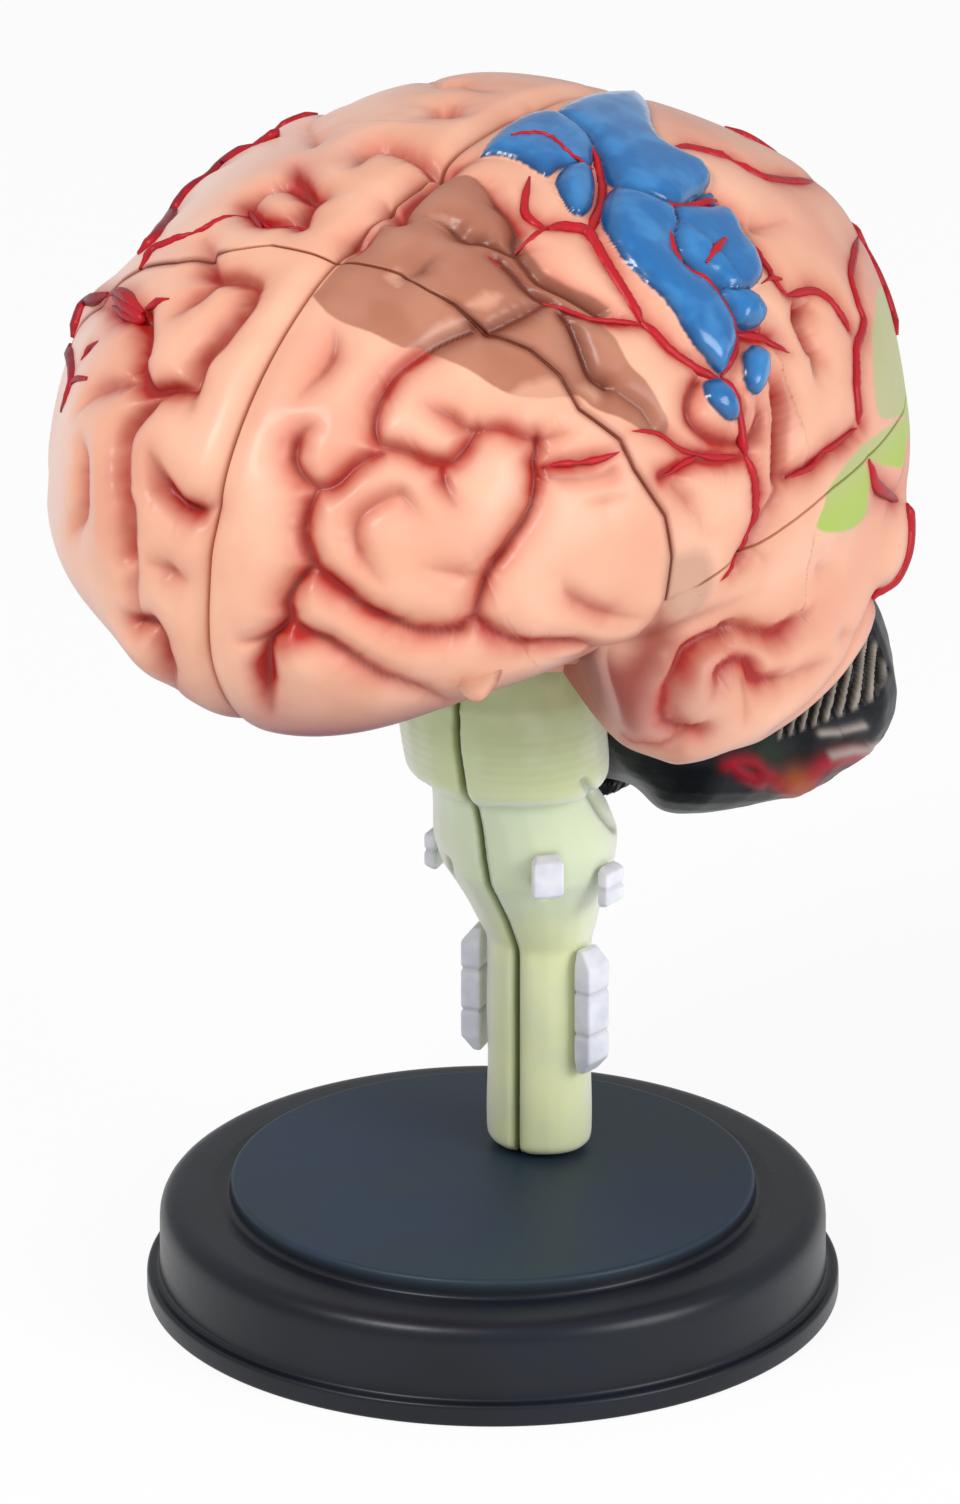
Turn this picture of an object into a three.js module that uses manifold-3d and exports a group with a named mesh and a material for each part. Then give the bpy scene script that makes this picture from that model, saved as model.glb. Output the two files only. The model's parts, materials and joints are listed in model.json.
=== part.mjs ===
// Anatomical brain model on a round display base.
// Millimetres, +Z up. +X is the brain's own left side and -Y is its front.
// The origin lies on the table, under the middle of the model's outer box.

import * as THREE from 'three';
import { mergeVertices } from 'three/addons/utils/BufferGeometryUtils.js';
import Module from 'manifold-3d';

// Brain
const BRAIN_LENGTH = 118;
const BRAIN_WIDTH = 88;
const BRAIN_HEIGHT = 70;
const SULCUS_DEPTH = 2.2;
const SULCUS_WIDTH = 2.3;
const GYRUS_PITCH = 11;
const PIECE_GAP = 0.5;
const MIDLINE_GAP = 0.2;
const MESH_STEP = 3.3;
const POLE_ROUNDING = 3.5;
const POLE_REACH = 11;

// Core pieces and the pegs that hold the outer pieces on them
const CORE_CLEARANCE = 0.7;
const CORE_GAP = 0.3;
const CALLOSUM_THICKNESS = 4.6;
const PEG_RADIUS = 1.5;
const PEG_LENGTH = 4.5;
const PEG_ROOT = 2.5;
const PEG_CLEARANCE = 0.3;

// Stem
const STALK_HEIGHT = 26;
const STALK_HALF_WIDTH = 6.3;
const STALK_HALF_DEPTH = 5.6;
const STALK_SETBACK = 14.4;
const STEM_LENGTH = 92.5;
const BULGE_HALF_WIDTH = 10.9;
const BULGE_HALF_DEPTH = 10;
const BULGE_HEIGHT = 40;
const BULGE_SETBACK = 11.2;
const WAIST_HALF_WIDTH = 9.6;
const WAIST_HALF_DEPTH = 8.7;
const WAIST_HEIGHT = 47;
const WAIST_SETBACK = 8.2;
const SEAT_ROUNDING = 0.8;
const STEM_CLEARANCE = 0.4;

// Nerve pieces
const NERVE_WIDTH = 3.6;
const NERVE_STAND_OFF = 1.5;
const FRONT_NERVE_LENGTH = 5.4;
const FRONT_NERVE_HEIGHT = 39;
const SIDE_NERVE_LENGTH = 5;
const SIDE_NERVE_HEIGHT = 36;
const ROOT_STRIP_LENGTH = 15.5;
const ROOT_STRIP_WIDTH = 3.8;
const ROOT_STRIP_STAND_OFF = 2.4;
const ROOT_STRIP_HEIGHT = 18.5;
const NERVE_SEAT_GAP = 0.3;

// Cerebellum
const CEREBELLUM_WIDTH = 66;
const CEREBELLUM_LENGTH = 42;
const CEREBELLUM_HEIGHT = 40;
const CEREBELLUM_SETBACK = 34.4;
const CEREBELLUM_DROP = 11.4;
const CEREBELLUM_CLEARANCE = 1;
const FOLIUM_DEPTH = 0.7;

// Display base
const BASE_DIAMETER = 80;
const BASE_HEIGHT = 14;
const BASE_WALL = 2.2;
const FLANGE_HEIGHT = 2.7;
const SHOULDER_INSET = 1.5;
const RIDGE_HEIGHT = 11.8;
const RIDGE_INSET = 3.6;
const PLATEAU_RADIUS = 30.2;
const EDGE_ROUNDING = 0.5;
const BASE_SETBACK = 3.65;
const POST_RADIUS = 2.5;
const POST_HEIGHT = 12;
const POST_CLEARANCE = 0.3;
const SEAT_GAP = 0.3;

// Shares of the half sizes that give the brain its outline
const FRONT_SHARE = 1.09;
const FRONT_TAPER = 0.05;
const BACK_TAPER = 0.03;
const FRONT_DEPTH_SHARE = 0.58;
const FRONT_SIDE_RISE = 0.4;
const BACK_DEPTH_SHARE = 0.72;
const STEP_PLACE = 0.12;
const STEP_LENGTH = 0.06;
const TEMPORAL_DEPTH_SHARE = 0.85;
const TEMPORAL_BLEND = 0.1;
const FLOOR_SHARE = 0.635;
const CAVITY_SHARE = 0.42;
const CORE_SPLIT_SHARE = 0.475;

// Exponents that make the outline fuller or rounder, an ellipsoid having 2
const SIDE_FULLNESS = 2.1;
const FRONT_FULLNESS = 2.35;
const BACK_FULLNESS = 2.06;
const FRONT_TOP_FULLNESS = 2.26;
const FRONT_UNDERSIDE_FULLNESS = 2.5;

const halfSize = new THREE.Vector3(
  BRAIN_WIDTH / 2,
  BRAIN_LENGTH / (1 + FRONT_SHARE),
  BRAIN_HEIGHT / (1 + TEMPORAL_DEPTH_SHARE),
);
const centre = new THREE.Vector3(
  0,
  (FRONT_SHARE - 1) * halfSize.y / 2,
  BASE_HEIGHT + SEAT_GAP + STEM_LENGTH,
);

// The drawing: a view from 30 degrees left of the front and 22.9 degrees up.
// Its points are pixels, its centre is the brain's, and its half sizes are in pixels too.
const VIEW_TURN = THREE.MathUtils.degToRad(30);
const VIEW_TILT = THREE.MathUtils.degToRad(22.9);
const DRAWING_CENTRE = new THREE.Vector2(477, 441);
const DRAWING_HALF_SIZE = new THREE.Vector3(386, 495.6, 331.6);

const FRONTAL_SEAM = [
  [345, 268], [400, 280], [428, 297], [454, 312], [484, 336], [528, 356], [558, 382],
  [576, 415], [617, 445], [632, 475], [662, 520], [668, 560], [662, 605],
];
const TEMPORAL_SEAM = [[690, 590], [745, 555], [830, 490], [892, 425]];
const FRONTAL_UNDERSIDE_SEAM = [[640, 632], [604, 655]];

// Grooves that the drawing shows, each a line of points
const GROOVES = [
  [[446, 346], [414, 362], [386, 394], [376, 423], [379, 451], [414, 464], [437, 469], [469, 445]],
  [[430, 410], [462, 432], [502, 437], [535, 445]],
  [[300, 435], [293, 454], [311, 492], [338, 486], [373, 461], [418, 462], [442, 467], [450, 502]],
  [[311, 492], [304, 537], [312, 575], [297, 588], [289, 623], [268, 644], [245, 645]],
  [[271, 649], [268, 674], [271, 706]],
  [[312, 575], [360, 614], [392, 631], [424, 639], [459, 636], [475, 620]],
  [[475, 620], [486, 585], [505, 556], [525, 520], [530, 485], [526, 458]],
  [[475, 620], [499, 644], [528, 652], [557, 649], [590, 647]],
  [[418, 518], [395, 505], [373, 515], [354, 534], [360, 559], [376, 580]],
  [[309, 645], [338, 655], [367, 674], [399, 690], [440, 700]],
  [[338, 337], [332, 362], [303, 400]],
  [[564, 592], [580, 608], [606, 616], [632, 615]],
  [[83, 448], [80, 483], [69, 531]],
  [[150, 406], [131, 425], [123, 454], [123, 500], [123, 550], [105, 559]],
  [[158, 461], [161, 483], [179, 505], [217, 516]],
  [[159, 572], [194, 588]],
  [[131, 633], [156, 634], [166, 652], [177, 677]],
  [[204, 247], [207, 270], [252, 289], [242, 311], [223, 337], [201, 362], [191, 391], [191, 410]],
  [[210, 282], [188, 305], [175, 317]],
  [[140, 324], [140, 352], [121, 391], [147, 397], [191, 407]],
  [[360, 167], [376, 148], [399, 148], [424, 161], [446, 171]],
  [[461, 241], [487, 243], [506, 263], [528, 286], [546, 304], [602, 324], [639, 326]],
  [[528, 190], [532, 215], [543, 230], [569, 228], [591, 234], [609, 267], [643, 326], [702, 374]],
  [[591, 149], [602, 200], [591, 234]],
  [[665, 241], [676, 267], [706, 289], [735, 345], [735, 400], [746, 460], [756, 514], [736, 569]],
  [[735, 341], [768, 341], [791, 356]],
  [[743, 460], [706, 461], [676, 467]],
  [[672, 212], [728, 193], [739, 219], [768, 267], [791, 297], [839, 304], [850, 326]],
  [[676, 149], [735, 154], [787, 178], [820, 186]],
  [[828, 204], [850, 238], [855, 267], [861, 319], [857, 374], [859, 411]],
  [[678, 491], [694, 511], [705, 533]],
  [[754, 393], [757, 419], [746, 445]],
  [[811, 304], [807, 326], [817, 349], [817, 374]],
  [[780, 393], [781, 430], [783, 467]],
  [[811, 613], [784, 639], [758, 638], [716, 644], [683, 665], [670, 705], [678, 733], [691, 741]],
  [[708, 699], [720, 682], [748, 665], [754, 684], [779, 686], [824, 661]],
  [[594, 752], [622, 756], [653, 756], [680, 745]],
  [[865, 455], [876, 491], [896, 514]],
];

// Vector helpers
const vector = (x, y, z) => new THREE.Vector3(x, y, z);
const clamp = THREE.MathUtils.clamp;
const smoothstep = THREE.MathUtils.smoothstep;

function direction(turn, lift) {
  const a = THREE.MathUtils.degToRad(turn);
  const b = THREE.MathUtils.degToRad(lift);
  return vector(Math.sin(a) * Math.cos(b), -Math.cos(a) * Math.cos(b), Math.sin(b));
}

function smoothMin(a, b, reach) {
  const h = clamp(0.5 + 0.5 * (b - a) / reach, 0, 1);
  return b * (1 - h) + a * h - reach * h * (1 - h);
}

// The brain's outline in unit coordinates, where each half size is 1. Negative is inside.
function cerebrum(p) {
  const front = p.y < 0;
  const back = 1 / (1 + Math.exp(-(p.y + STEP_PLACE) / STEP_LENGTH));
  const halfWidth = 1 + (front ? FRONT_TAPER : BACK_TAPER) * clamp(p.y, -1, 1);
  const frontDepth = FRONT_DEPTH_SHARE - FRONT_SIDE_RISE * Math.min(p.x * p.x, 0.5);
  const below = THREE.MathUtils.lerp(frontDepth, BACK_DEPTH_SHARE, back);
  const frontHeightFullness = p.z > 0 ? FRONT_TOP_FULLNESS : FRONT_UNDERSIDE_FULLNESS;
  const x = Math.abs(p.x) / halfWidth;
  const y = Math.abs(p.y) / (front ? FRONT_SHARE : 1);
  const z = Math.abs(p.z) / (p.z > 0 ? 1 : below);
  const sum = x ** SIDE_FULLNESS
    + y ** (front ? FRONT_FULLNESS : BACK_FULLNESS)
    + z ** (front ? frontHeightFullness : BACK_FULLNESS);
  return 0.7 * (sum ** (1 / SIDE_FULLNESS) - 1);
}

const TEMPORAL_CENTRE = vector(0.65, 0.08, -0.45);
const TEMPORAL_RADII = vector(0.34, 0.5, TEMPORAL_DEPTH_SHARE - 0.45);

function temporalSwelling(p) {
  const q = vector(Math.abs(p.x), p.y, p.z).sub(TEMPORAL_CENTRE).divide(TEMPORAL_RADII);
  return TEMPORAL_RADII.z * (q.length() - 1);
}

function cortex(p) {
  return smoothMin(cerebrum(p), temporalSwelling(p), TEMPORAL_BLEND);
}

// Distance from the centre to the outline along a unit direction: steps in from outside it,
// then halves the last step until the place is exact
function outlineRadius(outline, way) {
  const step = 0.03;
  let outer = 2;
  let inner = outer;
  while (inner > step && outline(way.clone().multiplyScalar(inner)) > 0) {
    outer = inner;
    inner -= step;
  }
  for (let halving = 0; halving < 16; halving += 1) {
    const middle = (inner + outer) / 2;
    if (outline(way.clone().multiplyScalar(middle)) > 0) outer = middle;
    else inner = middle;
  }
  return inner;
}

// The direction, in unit coordinates, that a point of the drawing shows
const viewRight = vector(Math.cos(VIEW_TURN), Math.sin(VIEW_TURN), 0);
const viewBack = direction(THREE.MathUtils.radToDeg(VIEW_TURN), THREE.MathUtils.radToDeg(VIEW_TILT));
const viewUp = viewBack.clone().cross(viewRight);

function fromDrawing([px, py]) {
  const start = viewRight.clone().multiplyScalar(px - DRAWING_CENTRE.x)
    .addScaledVector(viewUp, DRAWING_CENTRE.y - py);
  const at = (depth) => start.clone().addScaledVector(viewBack, depth).divide(DRAWING_HALF_SIZE);
  const nearest = 1.3 * DRAWING_HALF_SIZE.y;
  const farthest = -0.4 * DRAWING_HALF_SIZE.y;
  let best = at(0);
  let least = Infinity;
  for (let depth = nearest; depth > farthest; depth -= 2) {
    const value = cortex(at(depth));
    if (value < least) {
      least = value;
      best = at(depth);
    }
    if (value <= 0) break;
  }
  return best.normalize();
}

// Borders of the four lobes of the left half, as directions
const onMidline = (way) => way.setX(0).normalize();
const frontalSeam = FRONTAL_SEAM.map(fromDrawing);
const temporalSeam = TEMPORAL_SEAM.map(fromDrawing);
const undersideSeam = FRONTAL_UNDERSIDE_SEAM.map(fromDrawing);
onMidline(frontalSeam[0]);
const lobeCorner = frontalSeam.at(-1);

const SIDE_CORNER = direction(126, 2);
const OCCIPITAL_TOP = direction(180, 34);
const STEM_WINDOW = {
  back: vector(0, 0.265, -FLOOR_SHARE).normalize(),
  backCorner: vector(0.307, 0.265, -FLOOR_SHARE).normalize(),
  sideCorner: vector(0.307, -0.02, -0.714).normalize(),
  frontCorner: vector(0.205, -0.15, -0.714).normalize(),
  front: vector(0, -0.17, -0.714).normalize(),
};
const CEREBELLUM_CORNER = vector(0.76, 0.24, -FLOOR_SHARE).normalize();

const LOBES = {
  frontal: {
    colour: 0xeeb497,
    slide: direction(36, 12),
    outline: cerebrum,
    border: [
      ...frontalSeam, ...undersideSeam, STEM_WINDOW.sideCorner, STEM_WINDOW.frontCorner,
      STEM_WINDOW.front, direction(0, -30), direction(0, 0), direction(0, 25),
    ],
  },
  parietal: {
    colour: 0xe9ab90,
    slide: direction(100, 42),
    outline: cortex,
    border: [
      direction(180, 62), vector(0, 0, 1), ...frontalSeam, ...temporalSeam, SIDE_CORNER,
      direction(150, 22), OCCIPITAL_TOP,
    ],
  },
  temporal: {
    colour: 0xe6a38c,
    slide: direction(84, -7),
    outline: cortex,
    rounded: [lobeCorner, ...undersideSeam, STEM_WINDOW.sideCorner],
    border: [
      lobeCorner, ...undersideSeam, STEM_WINDOW.sideCorner, STEM_WINDOW.backCorner,
      CEREBELLUM_CORNER, direction(122, -16), SIDE_CORNER, ...[...temporalSeam].reverse(),
    ],
  },
  occipital: {
    colour: 0xe3a78f,
    slide: direction(148, 6),
    outline: cortex,
    floor: FLOOR_SHARE,
    border: [
      OCCIPITAL_TOP, direction(150, 22), SIDE_CORNER, direction(122, -16), CEREBELLUM_CORNER,
      STEM_WINDOW.backCorner, STEM_WINDOW.back, direction(180, -25), direction(180, 5),
    ],
  },
};

// Grooves in the surface
function surfacePoint(way) {
  return way.clone().multiplyScalar(outlineRadius(cortex, way)).multiply(halfSize);
}

const grooveSegments = GROOVES.flatMap((line) => {
  const points = line.map((pixel) => surfacePoint(fromDrawing(pixel)));
  return points.slice(1).map((point, i) => new THREE.Line3(points[i], point));
});

function nearestDrawnGroove(point) {
  let least = Infinity;
  const nearest = point.clone();
  const candidate = vector(0, 0, 0);
  for (const segment of grooveSegments) {
    segment.closestPointToPoint(point, true, candidate);
    const distance = candidate.distanceTo(point);
    if (distance < least) {
      least = distance;
      nearest.copy(candidate);
    }
  }
  return { distance: least, nearest };
}

// A winding pattern for the sides that the drawing doesn't show: waves in evenly spread
// directions, whose sum is zero along the grooves
const WAVES = 7;
const GOLDEN_ANGLE = 2.39996;
const PHASE_STEP = 1.7;
const waveNumber = Math.PI / GYRUS_PITCH;

function patternDistance(point) {
  let value = 0;
  const slope = vector(0, 0, 0);
  for (let i = 0; i < WAVES; i += 1) {
    const height = 1 - 2 * (i + 0.5) / WAVES;
    const ring = Math.sqrt(1 - height * height);
    const turn = GOLDEN_ANGLE * i;
    const wave = vector(Math.cos(turn) * ring, Math.sin(turn) * ring, height).multiplyScalar(waveNumber);
    const phase = wave.dot(point) + PHASE_STEP * i;
    value += Math.sin(phase);
    slope.addScaledVector(wave, Math.cos(phase));
  }
  return Math.abs(value) / Math.max(slope.length(), waveNumber / 4);
}

function facing(point) {
  return point.clone().divide(halfSize).divide(halfSize).normalize().dot(viewBack);
}

// A mesh point beside a drawn groove moves onto it, so that the groove stays sharp
function onGroove(point) {
  if (facing(point) < 0) return point;
  const { distance, nearest } = nearestDrawnGroove(point);
  return distance < 0.4 * MESH_STEP ? point.lerp(nearest, 0.9) : point;
}

// Depth of the grooves at a point. Where only its mirror image faces the drawing, the
// drawing's grooves are mirrored. Where neither does, the pattern takes over.
function surfaceSink(point) {
  const twin = vector(-point.x, point.y, point.z);
  const seen = smoothstep(facing(point), -0.05, 0.12);
  const twinSeen = smoothstep(facing(twin), -0.05, 0.12);
  const sink = (distance) => SULCUS_DEPTH * Math.exp(-((distance / SULCUS_WIDTH) ** 1.4));
  const own = sink(nearestDrawnGroove(point).distance);
  const other = twinSeen > 0 ? sink(nearestDrawnGroove(twin).distance) : 0;
  const hidden = sink(patternDistance(vector(Math.abs(point.x), point.y, point.z)));
  return THREE.MathUtils.lerp(THREE.MathUtils.lerp(hidden, other, twinSeen), own, seen);
}

function closedGeometry(positions, triangles) {
  const geometry = new THREE.BufferGeometry();
  const flat = positions.flatMap((p) => [p.x, p.y, p.z]);
  geometry.setAttribute('position', new THREE.Float32BufferAttribute(flat, 3));
  geometry.setIndex(triangles.flat());
  return outward(geometry);
}

// Turns the triangles of a closed mesh round where they face in
function outward(geometry) {
  const index = Array.from(geometry.index.array);
  const position = geometry.attributes.position;
  const corner = (i) => vector(0, 0, 0).fromBufferAttribute(position, index[i]);
  let volume = 0;
  for (let i = 0; i < index.length; i += 3) {
    volume += corner(i).dot(corner(i + 1).cross(corner(i + 2)));
  }
  if (volume < 0) geometry.setIndex(index.reverse());
  geometry.computeVertexNormals();
  return geometry;
}

function mirrored(geometry) {
  return outward(geometry.clone().scale(-1, 1, 1));
}

// Solids that are joined and cut
const manifold = await Module();
manifold.setup();

function welded(geometry) {
  const bare = geometry.clone();
  bare.deleteAttribute('normal');
  bare.deleteAttribute('uv');
  return mergeVertices(bare, 1e-4);
}

function toSolid(geometry) {
  const merged = welded(geometry);
  const corners = [];
  for (let i = 0; i < merged.index.count; i += 3) {
    const [a, b, c] = merged.index.array.subarray(i, i + 3);
    if (a !== b && b !== c && c !== a) corners.push(a, b, c);
  }
  return new manifold.Manifold(new manifold.Mesh({
    numProp: 3,
    vertProperties: merged.attributes.position.array,
    triVerts: new Uint32Array(corners),
  }));
}

function toGeometry(solid) {
  const mesh = solid.getMesh();
  const geometry = new THREE.BufferGeometry();
  geometry.setAttribute('position', new THREE.BufferAttribute(mesh.vertProperties, 3));
  geometry.setIndex(new THREE.BufferAttribute(mesh.triVerts, 1));
  geometry.computeVertexNormals();
  return geometry;
}

function ball(turns, levels) {
  return welded(new THREE.SphereGeometry(1, turns, levels).rotateX(Math.PI / 2));
}

function rod(from, to, radius, sides = 12) {
  const axis = to.clone().sub(from);
  const geometry = new THREE.CylinderGeometry(radius, radius, axis.length(), sides);
  const turn = new THREE.Quaternion().setFromUnitVectors(vector(0, 1, 0), axis.clone().normalize());
  geometry.applyQuaternion(turn);
  const middle = from.clone().add(to).multiplyScalar(0.5);
  return toSolid(geometry.translate(middle.x, middle.y, middle.z));
}

// How far a lobe's surface draws in beside the stretch of its border that is rounded
function poleSink(way, stretch, side) {
  const point = surfacePoint(vector(way.x * side, way.y, way.z));
  let least = Infinity;
  for (let i = 1; i < stretch.length; i += 1) {
    const edge = new THREE.Line3(surfacePoint(stretch[i - 1]), surfacePoint(stretch[i]));
    const nearest = edge.closestPointToPoint(point, true, vector(0, 0, 0));
    least = Math.min(least, nearest.distanceTo(point));
  }
  return POLE_ROUNDING * clamp(1 - least / POLE_REACH, 0, 1) ** 2;
}

// Joins two rings of a disc whose points are spread evenly round the border
function joinRings(inner, outer, triangles) {
  let i = 0;
  let j = 0;
  while (i < inner.length || j < outer.length) {
    const nextInner = (i + 1) / inner.length;
    const nextOuter = (j + 1) / outer.length;
    const a = inner[i % inner.length];
    const b = outer[j % outer.length];
    if (j >= outer.length || (i < inner.length && nextInner < nextOuter)) {
      triangles.push([a, b, inner[(i + 1) % inner.length]]);
      i += 1;
    } else {
      triangles.push([a, b, outer[(j + 1) % outer.length]]);
      j += 1;
    }
  }
}

// A lobe is the part of the shell between the cavity and the outline that its border holds,
// seen from the centre of the brain. It is moved out along its slide by the gap.
function lobe({ border, slide, outline, floor, rounded }, side) {
  const ways = border.map((way) => vector(way.x * side, way.y, way.z));
  const middle = vector(slide.x * side, slide.y, slide.z);
  const reach = (way) => {
    const free = outlineRadius(outline, way);
    return floor && way.z < 0 ? Math.min(free, -floor / way.z) : free;
  };
  const outerPoint = (way) => way.clone().multiplyScalar(reach(way)).multiply(halfSize);
  const corners = ways.map(outerPoint);
  const lengths = corners.map((p, i) => p.distanceTo(corners[(i + 1) % corners.length]));
  const total = lengths.reduce((sum, length) => sum + length, 0);
  const borderCount = Math.round(total / MESH_STEP);
  const borderWay = (share) => {
    let left = share * total;
    let i = 0;
    while (i < lengths.length - 1 && left > lengths[i]) {
      left -= lengths[i];
      i += 1;
    }
    const next = ways[(i + 1) % ways.length];
    return ways[i].clone().lerp(next, clamp(left / lengths[i], 0, 1)).normalize();
  };
  const spread = corners.reduce((sum, p) => sum + p.distanceTo(outerPoint(middle)), 0);
  const rings = Math.max(4, Math.round(spread / corners.length / MESH_STEP));
  const positions = [];
  const triangles = [];
  const disc = (ringCount, place) => {
    let previous = [positions.push(place(middle, 0)) - 1];
    for (let k = 1; k <= ringCount; k += 1) {
      const count = Math.max(6, Math.round(borderCount * k / ringCount));
      const ring = [];
      for (let i = 0; i < count; i += 1) {
        const way = middle.clone().lerp(borderWay(i / count), k / ringCount).normalize();
        ring.push(positions.push(place(way, k / ringCount)) - 1);
      }
      joinRings(previous, ring, triangles);
      previous = ring;
    }
    return previous;
  };
  const outerRing = disc(rings, (way, share) => {
    const point = share < 1 ? onGroove(outerPoint(way)) : outerPoint(way);
    const sink = surfaceSink(point) + poleSink(way, rounded ?? [], side);
    return point.setLength(point.length() - sink);
  });
  const outerTriangles = triangles.length;
  const innerRing = disc(
    Math.max(2, Math.round(rings / 3)),
    (way) => way.clone().multiplyScalar(CAVITY_SHARE).multiply(halfSize),
  );
  for (let i = outerTriangles; i < triangles.length; i += 1) triangles[i].reverse();
  outerRing.forEach((a, i) => {
    const b = outerRing[(i + 1) % outerRing.length];
    const c = innerRing[i];
    const d = innerRing[(i + 1) % innerRing.length];
    triangles.push([b, a, c], [b, c, d]);
  });
  const geometry = closedGeometry(positions, triangles);
  const shift = middle.multiply(halfSize).setLength(PIECE_GAP);
  return geometry.translate(shift.x, shift.y, shift.z);
}

// Stem: elliptical sections, listed from the seat up. Those inside the brain follow its size,
// and those below it stand at their heights above the seat. Depths are from the brain's centre.
const inBrain = (depth, setback, halfWidth, halfDepth) => ({
  z: -depth * halfSize.z,
  y: setback * halfSize.y,
  halfWidth: halfWidth * halfSize.x,
  halfDepth: halfDepth * halfSize.y,
});
const aboveSeat = (height, setback, halfWidth, halfDepth) => ({
  z: height - STEM_LENGTH,
  y: setback,
  halfWidth,
  halfDepth,
});
const mixed = (low, high, share) => Object.fromEntries(
  Object.keys(low).map((key) => [key, THREE.MathUtils.lerp(low[key], high[key], share)]),
);

const stalkFoot = aboveSeat(
  0, STALK_SETBACK, STALK_HALF_WIDTH - SEAT_ROUNDING, STALK_HALF_DEPTH - SEAT_ROUNDING,
);
const stalkTop = aboveSeat(STALK_HEIGHT, STALK_SETBACK, STALK_HALF_WIDTH, STALK_HALF_DEPTH);
const bulge = aboveSeat(BULGE_HEIGHT, BULGE_SETBACK, BULGE_HALF_WIDTH, BULGE_HALF_DEPTH);
const waist = aboveSeat(WAIST_HEIGHT, WAIST_SETBACK, WAIST_HALF_WIDTH, WAIST_HALF_DEPTH);
const pegLevel = inBrain(0.97, 0.103, 0.272, 0.181);
const pinLevel = inBrain(0.83, 0.09, 0.276, 0.18);
const STEM_SECTIONS = [
  stalkFoot,
  aboveSeat(SEAT_ROUNDING, STALK_SETBACK, STALK_HALF_WIDTH, STALK_HALF_DEPTH),
  stalkTop,
  mixed(stalkTop, bulge, 0.36),
  { ...mixed(stalkTop, bulge, 0.86), z: mixed(stalkTop, bulge, 0.75).z },
  bulge,
  { ...mixed(bulge, waist, 0.45), z: mixed(bulge, waist, 0.6).z },
  waist,
  inBrain(1.12, 0.125, 0.262, 0.18),
  pegLevel,
  pinLevel,
  inBrain(0.735, 0.088, 0.25, 0.162),
  inBrain(0.6, 0.074, 0.195, 0.134),
  inBrain(0.4, 0.045, 0.14, 0.1),
  inBrain(0.23, 0.045, 0.136, 0.1),
];

// Closed solid through rings of equally many points, each ring convex
function loft(ringList) {
  const count = ringList[0].length;
  const positions = ringList.flat();
  const triangles = [];
  for (let level = 0; level < ringList.length - 1; level += 1) {
    for (let i = 0; i < count; i += 1) {
      const a = level * count + i;
      const b = level * count + ((i + 1) % count);
      triangles.push([a, b, b + count], [a, b + count, a + count]);
    }
  }
  const last = (ringList.length - 1) * count;
  for (let i = 1; i < count - 1; i += 1) {
    triangles.push([0, i + 1, i], [last, last + i, last + i + 1]);
  }
  return closedGeometry(positions, triangles);
}

// Left half of the stem, from a flat side at the given place out to its surface, grown
function stemHalf(grow, inner) {
  const steps = 10;
  return loft(STEM_SECTIONS.map(({ z, y, halfWidth, halfDepth }) => {
    const ring = [];
    for (let i = 0; i <= steps; i += 1) {
      const angle = Math.PI * (i / steps - 0.5);
      const across = inner + (halfWidth + grow - inner) * Math.cos(angle);
      ring.push(vector(across, y + (halfDepth + grow) * Math.sin(angle), z));
    }
    return ring;
  }));
}

function stemSection(height) {
  const z = height - STEM_LENGTH;
  const above = STEM_SECTIONS.findIndex((section) => section.z > z);
  const low = STEM_SECTIONS[above - 1];
  const high = STEM_SECTIONS[above];
  return mixed(low, high, (z - low.z) / (high.z - low.z));
}

// A nerve piece stands on the stem's surface, turned to face out at its angle from the front
function nervePiece({ height, angle, width, tall, standOff }, side) {
  const { z, y } = stemSection(height);
  const turn = THREE.MathUtils.degToRad(angle);
  const out = vector(Math.sin(turn), -Math.cos(turn), 0);
  const along = vector(-out.y, out.x, 0);
  const reachAt = (level) => {
    const section = stemSection(level);
    const reach = Math.hypot(section.halfWidth * out.x, section.halfDepth * out.y);
    return reach + out.y * (section.y - y);
  };
  const seat = Math.max(...[-0.5, 0, 0.5].map((share) => reachAt(height + share * tall)));
  const section = (share, thick, shrink) => {
    const half = width / 2 - shrink;
    const level = z + share * tall;
    const at = (sideways, distance) => vector(0, y, level)
      .addScaledVector(along, sideways).addScaledVector(out, seat + NERVE_SEAT_GAP + distance);
    return [at(-half, 0), at(half, 0), at(half, thick), at(-half, thick)];
  };
  const tip = 0.4 * standOff;
  const tipShrink = width / 8;
  const geometry = loft([
    section(-0.5, tip, tipShrink), section(-0.38, standOff, 0),
    section(0.38, standOff, 0), section(0.5, tip, tipShrink),
  ]);
  return side > 0 ? geometry : mirrored(geometry);
}

const NERVES = {
  nerve_front: {
    height: FRONT_NERVE_HEIGHT,
    angle: 42,
    width: NERVE_WIDTH,
    tall: FRONT_NERVE_LENGTH,
    standOff: NERVE_STAND_OFF,
  },
  nerve_side: {
    height: SIDE_NERVE_HEIGHT,
    angle: 84,
    width: NERVE_WIDTH,
    tall: SIDE_NERVE_LENGTH,
    standOff: NERVE_STAND_OFF,
  },
  nerve_root_strip: {
    height: ROOT_STRIP_HEIGHT,
    angle: 80,
    width: ROOT_STRIP_WIDTH,
    tall: ROOT_STRIP_LENGTH,
    standOff: ROOT_STRIP_STAND_OFF,
  },
};

// Core: upright slices of an ellipsoid that fits the cavity
const coreRadii = halfSize.clone().multiplyScalar(CAVITY_SHARE).subScalar(CORE_CLEARANCE);
const coreSolid = toSolid(ball(24, 16).scale(...coreRadii.toArray()));

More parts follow.
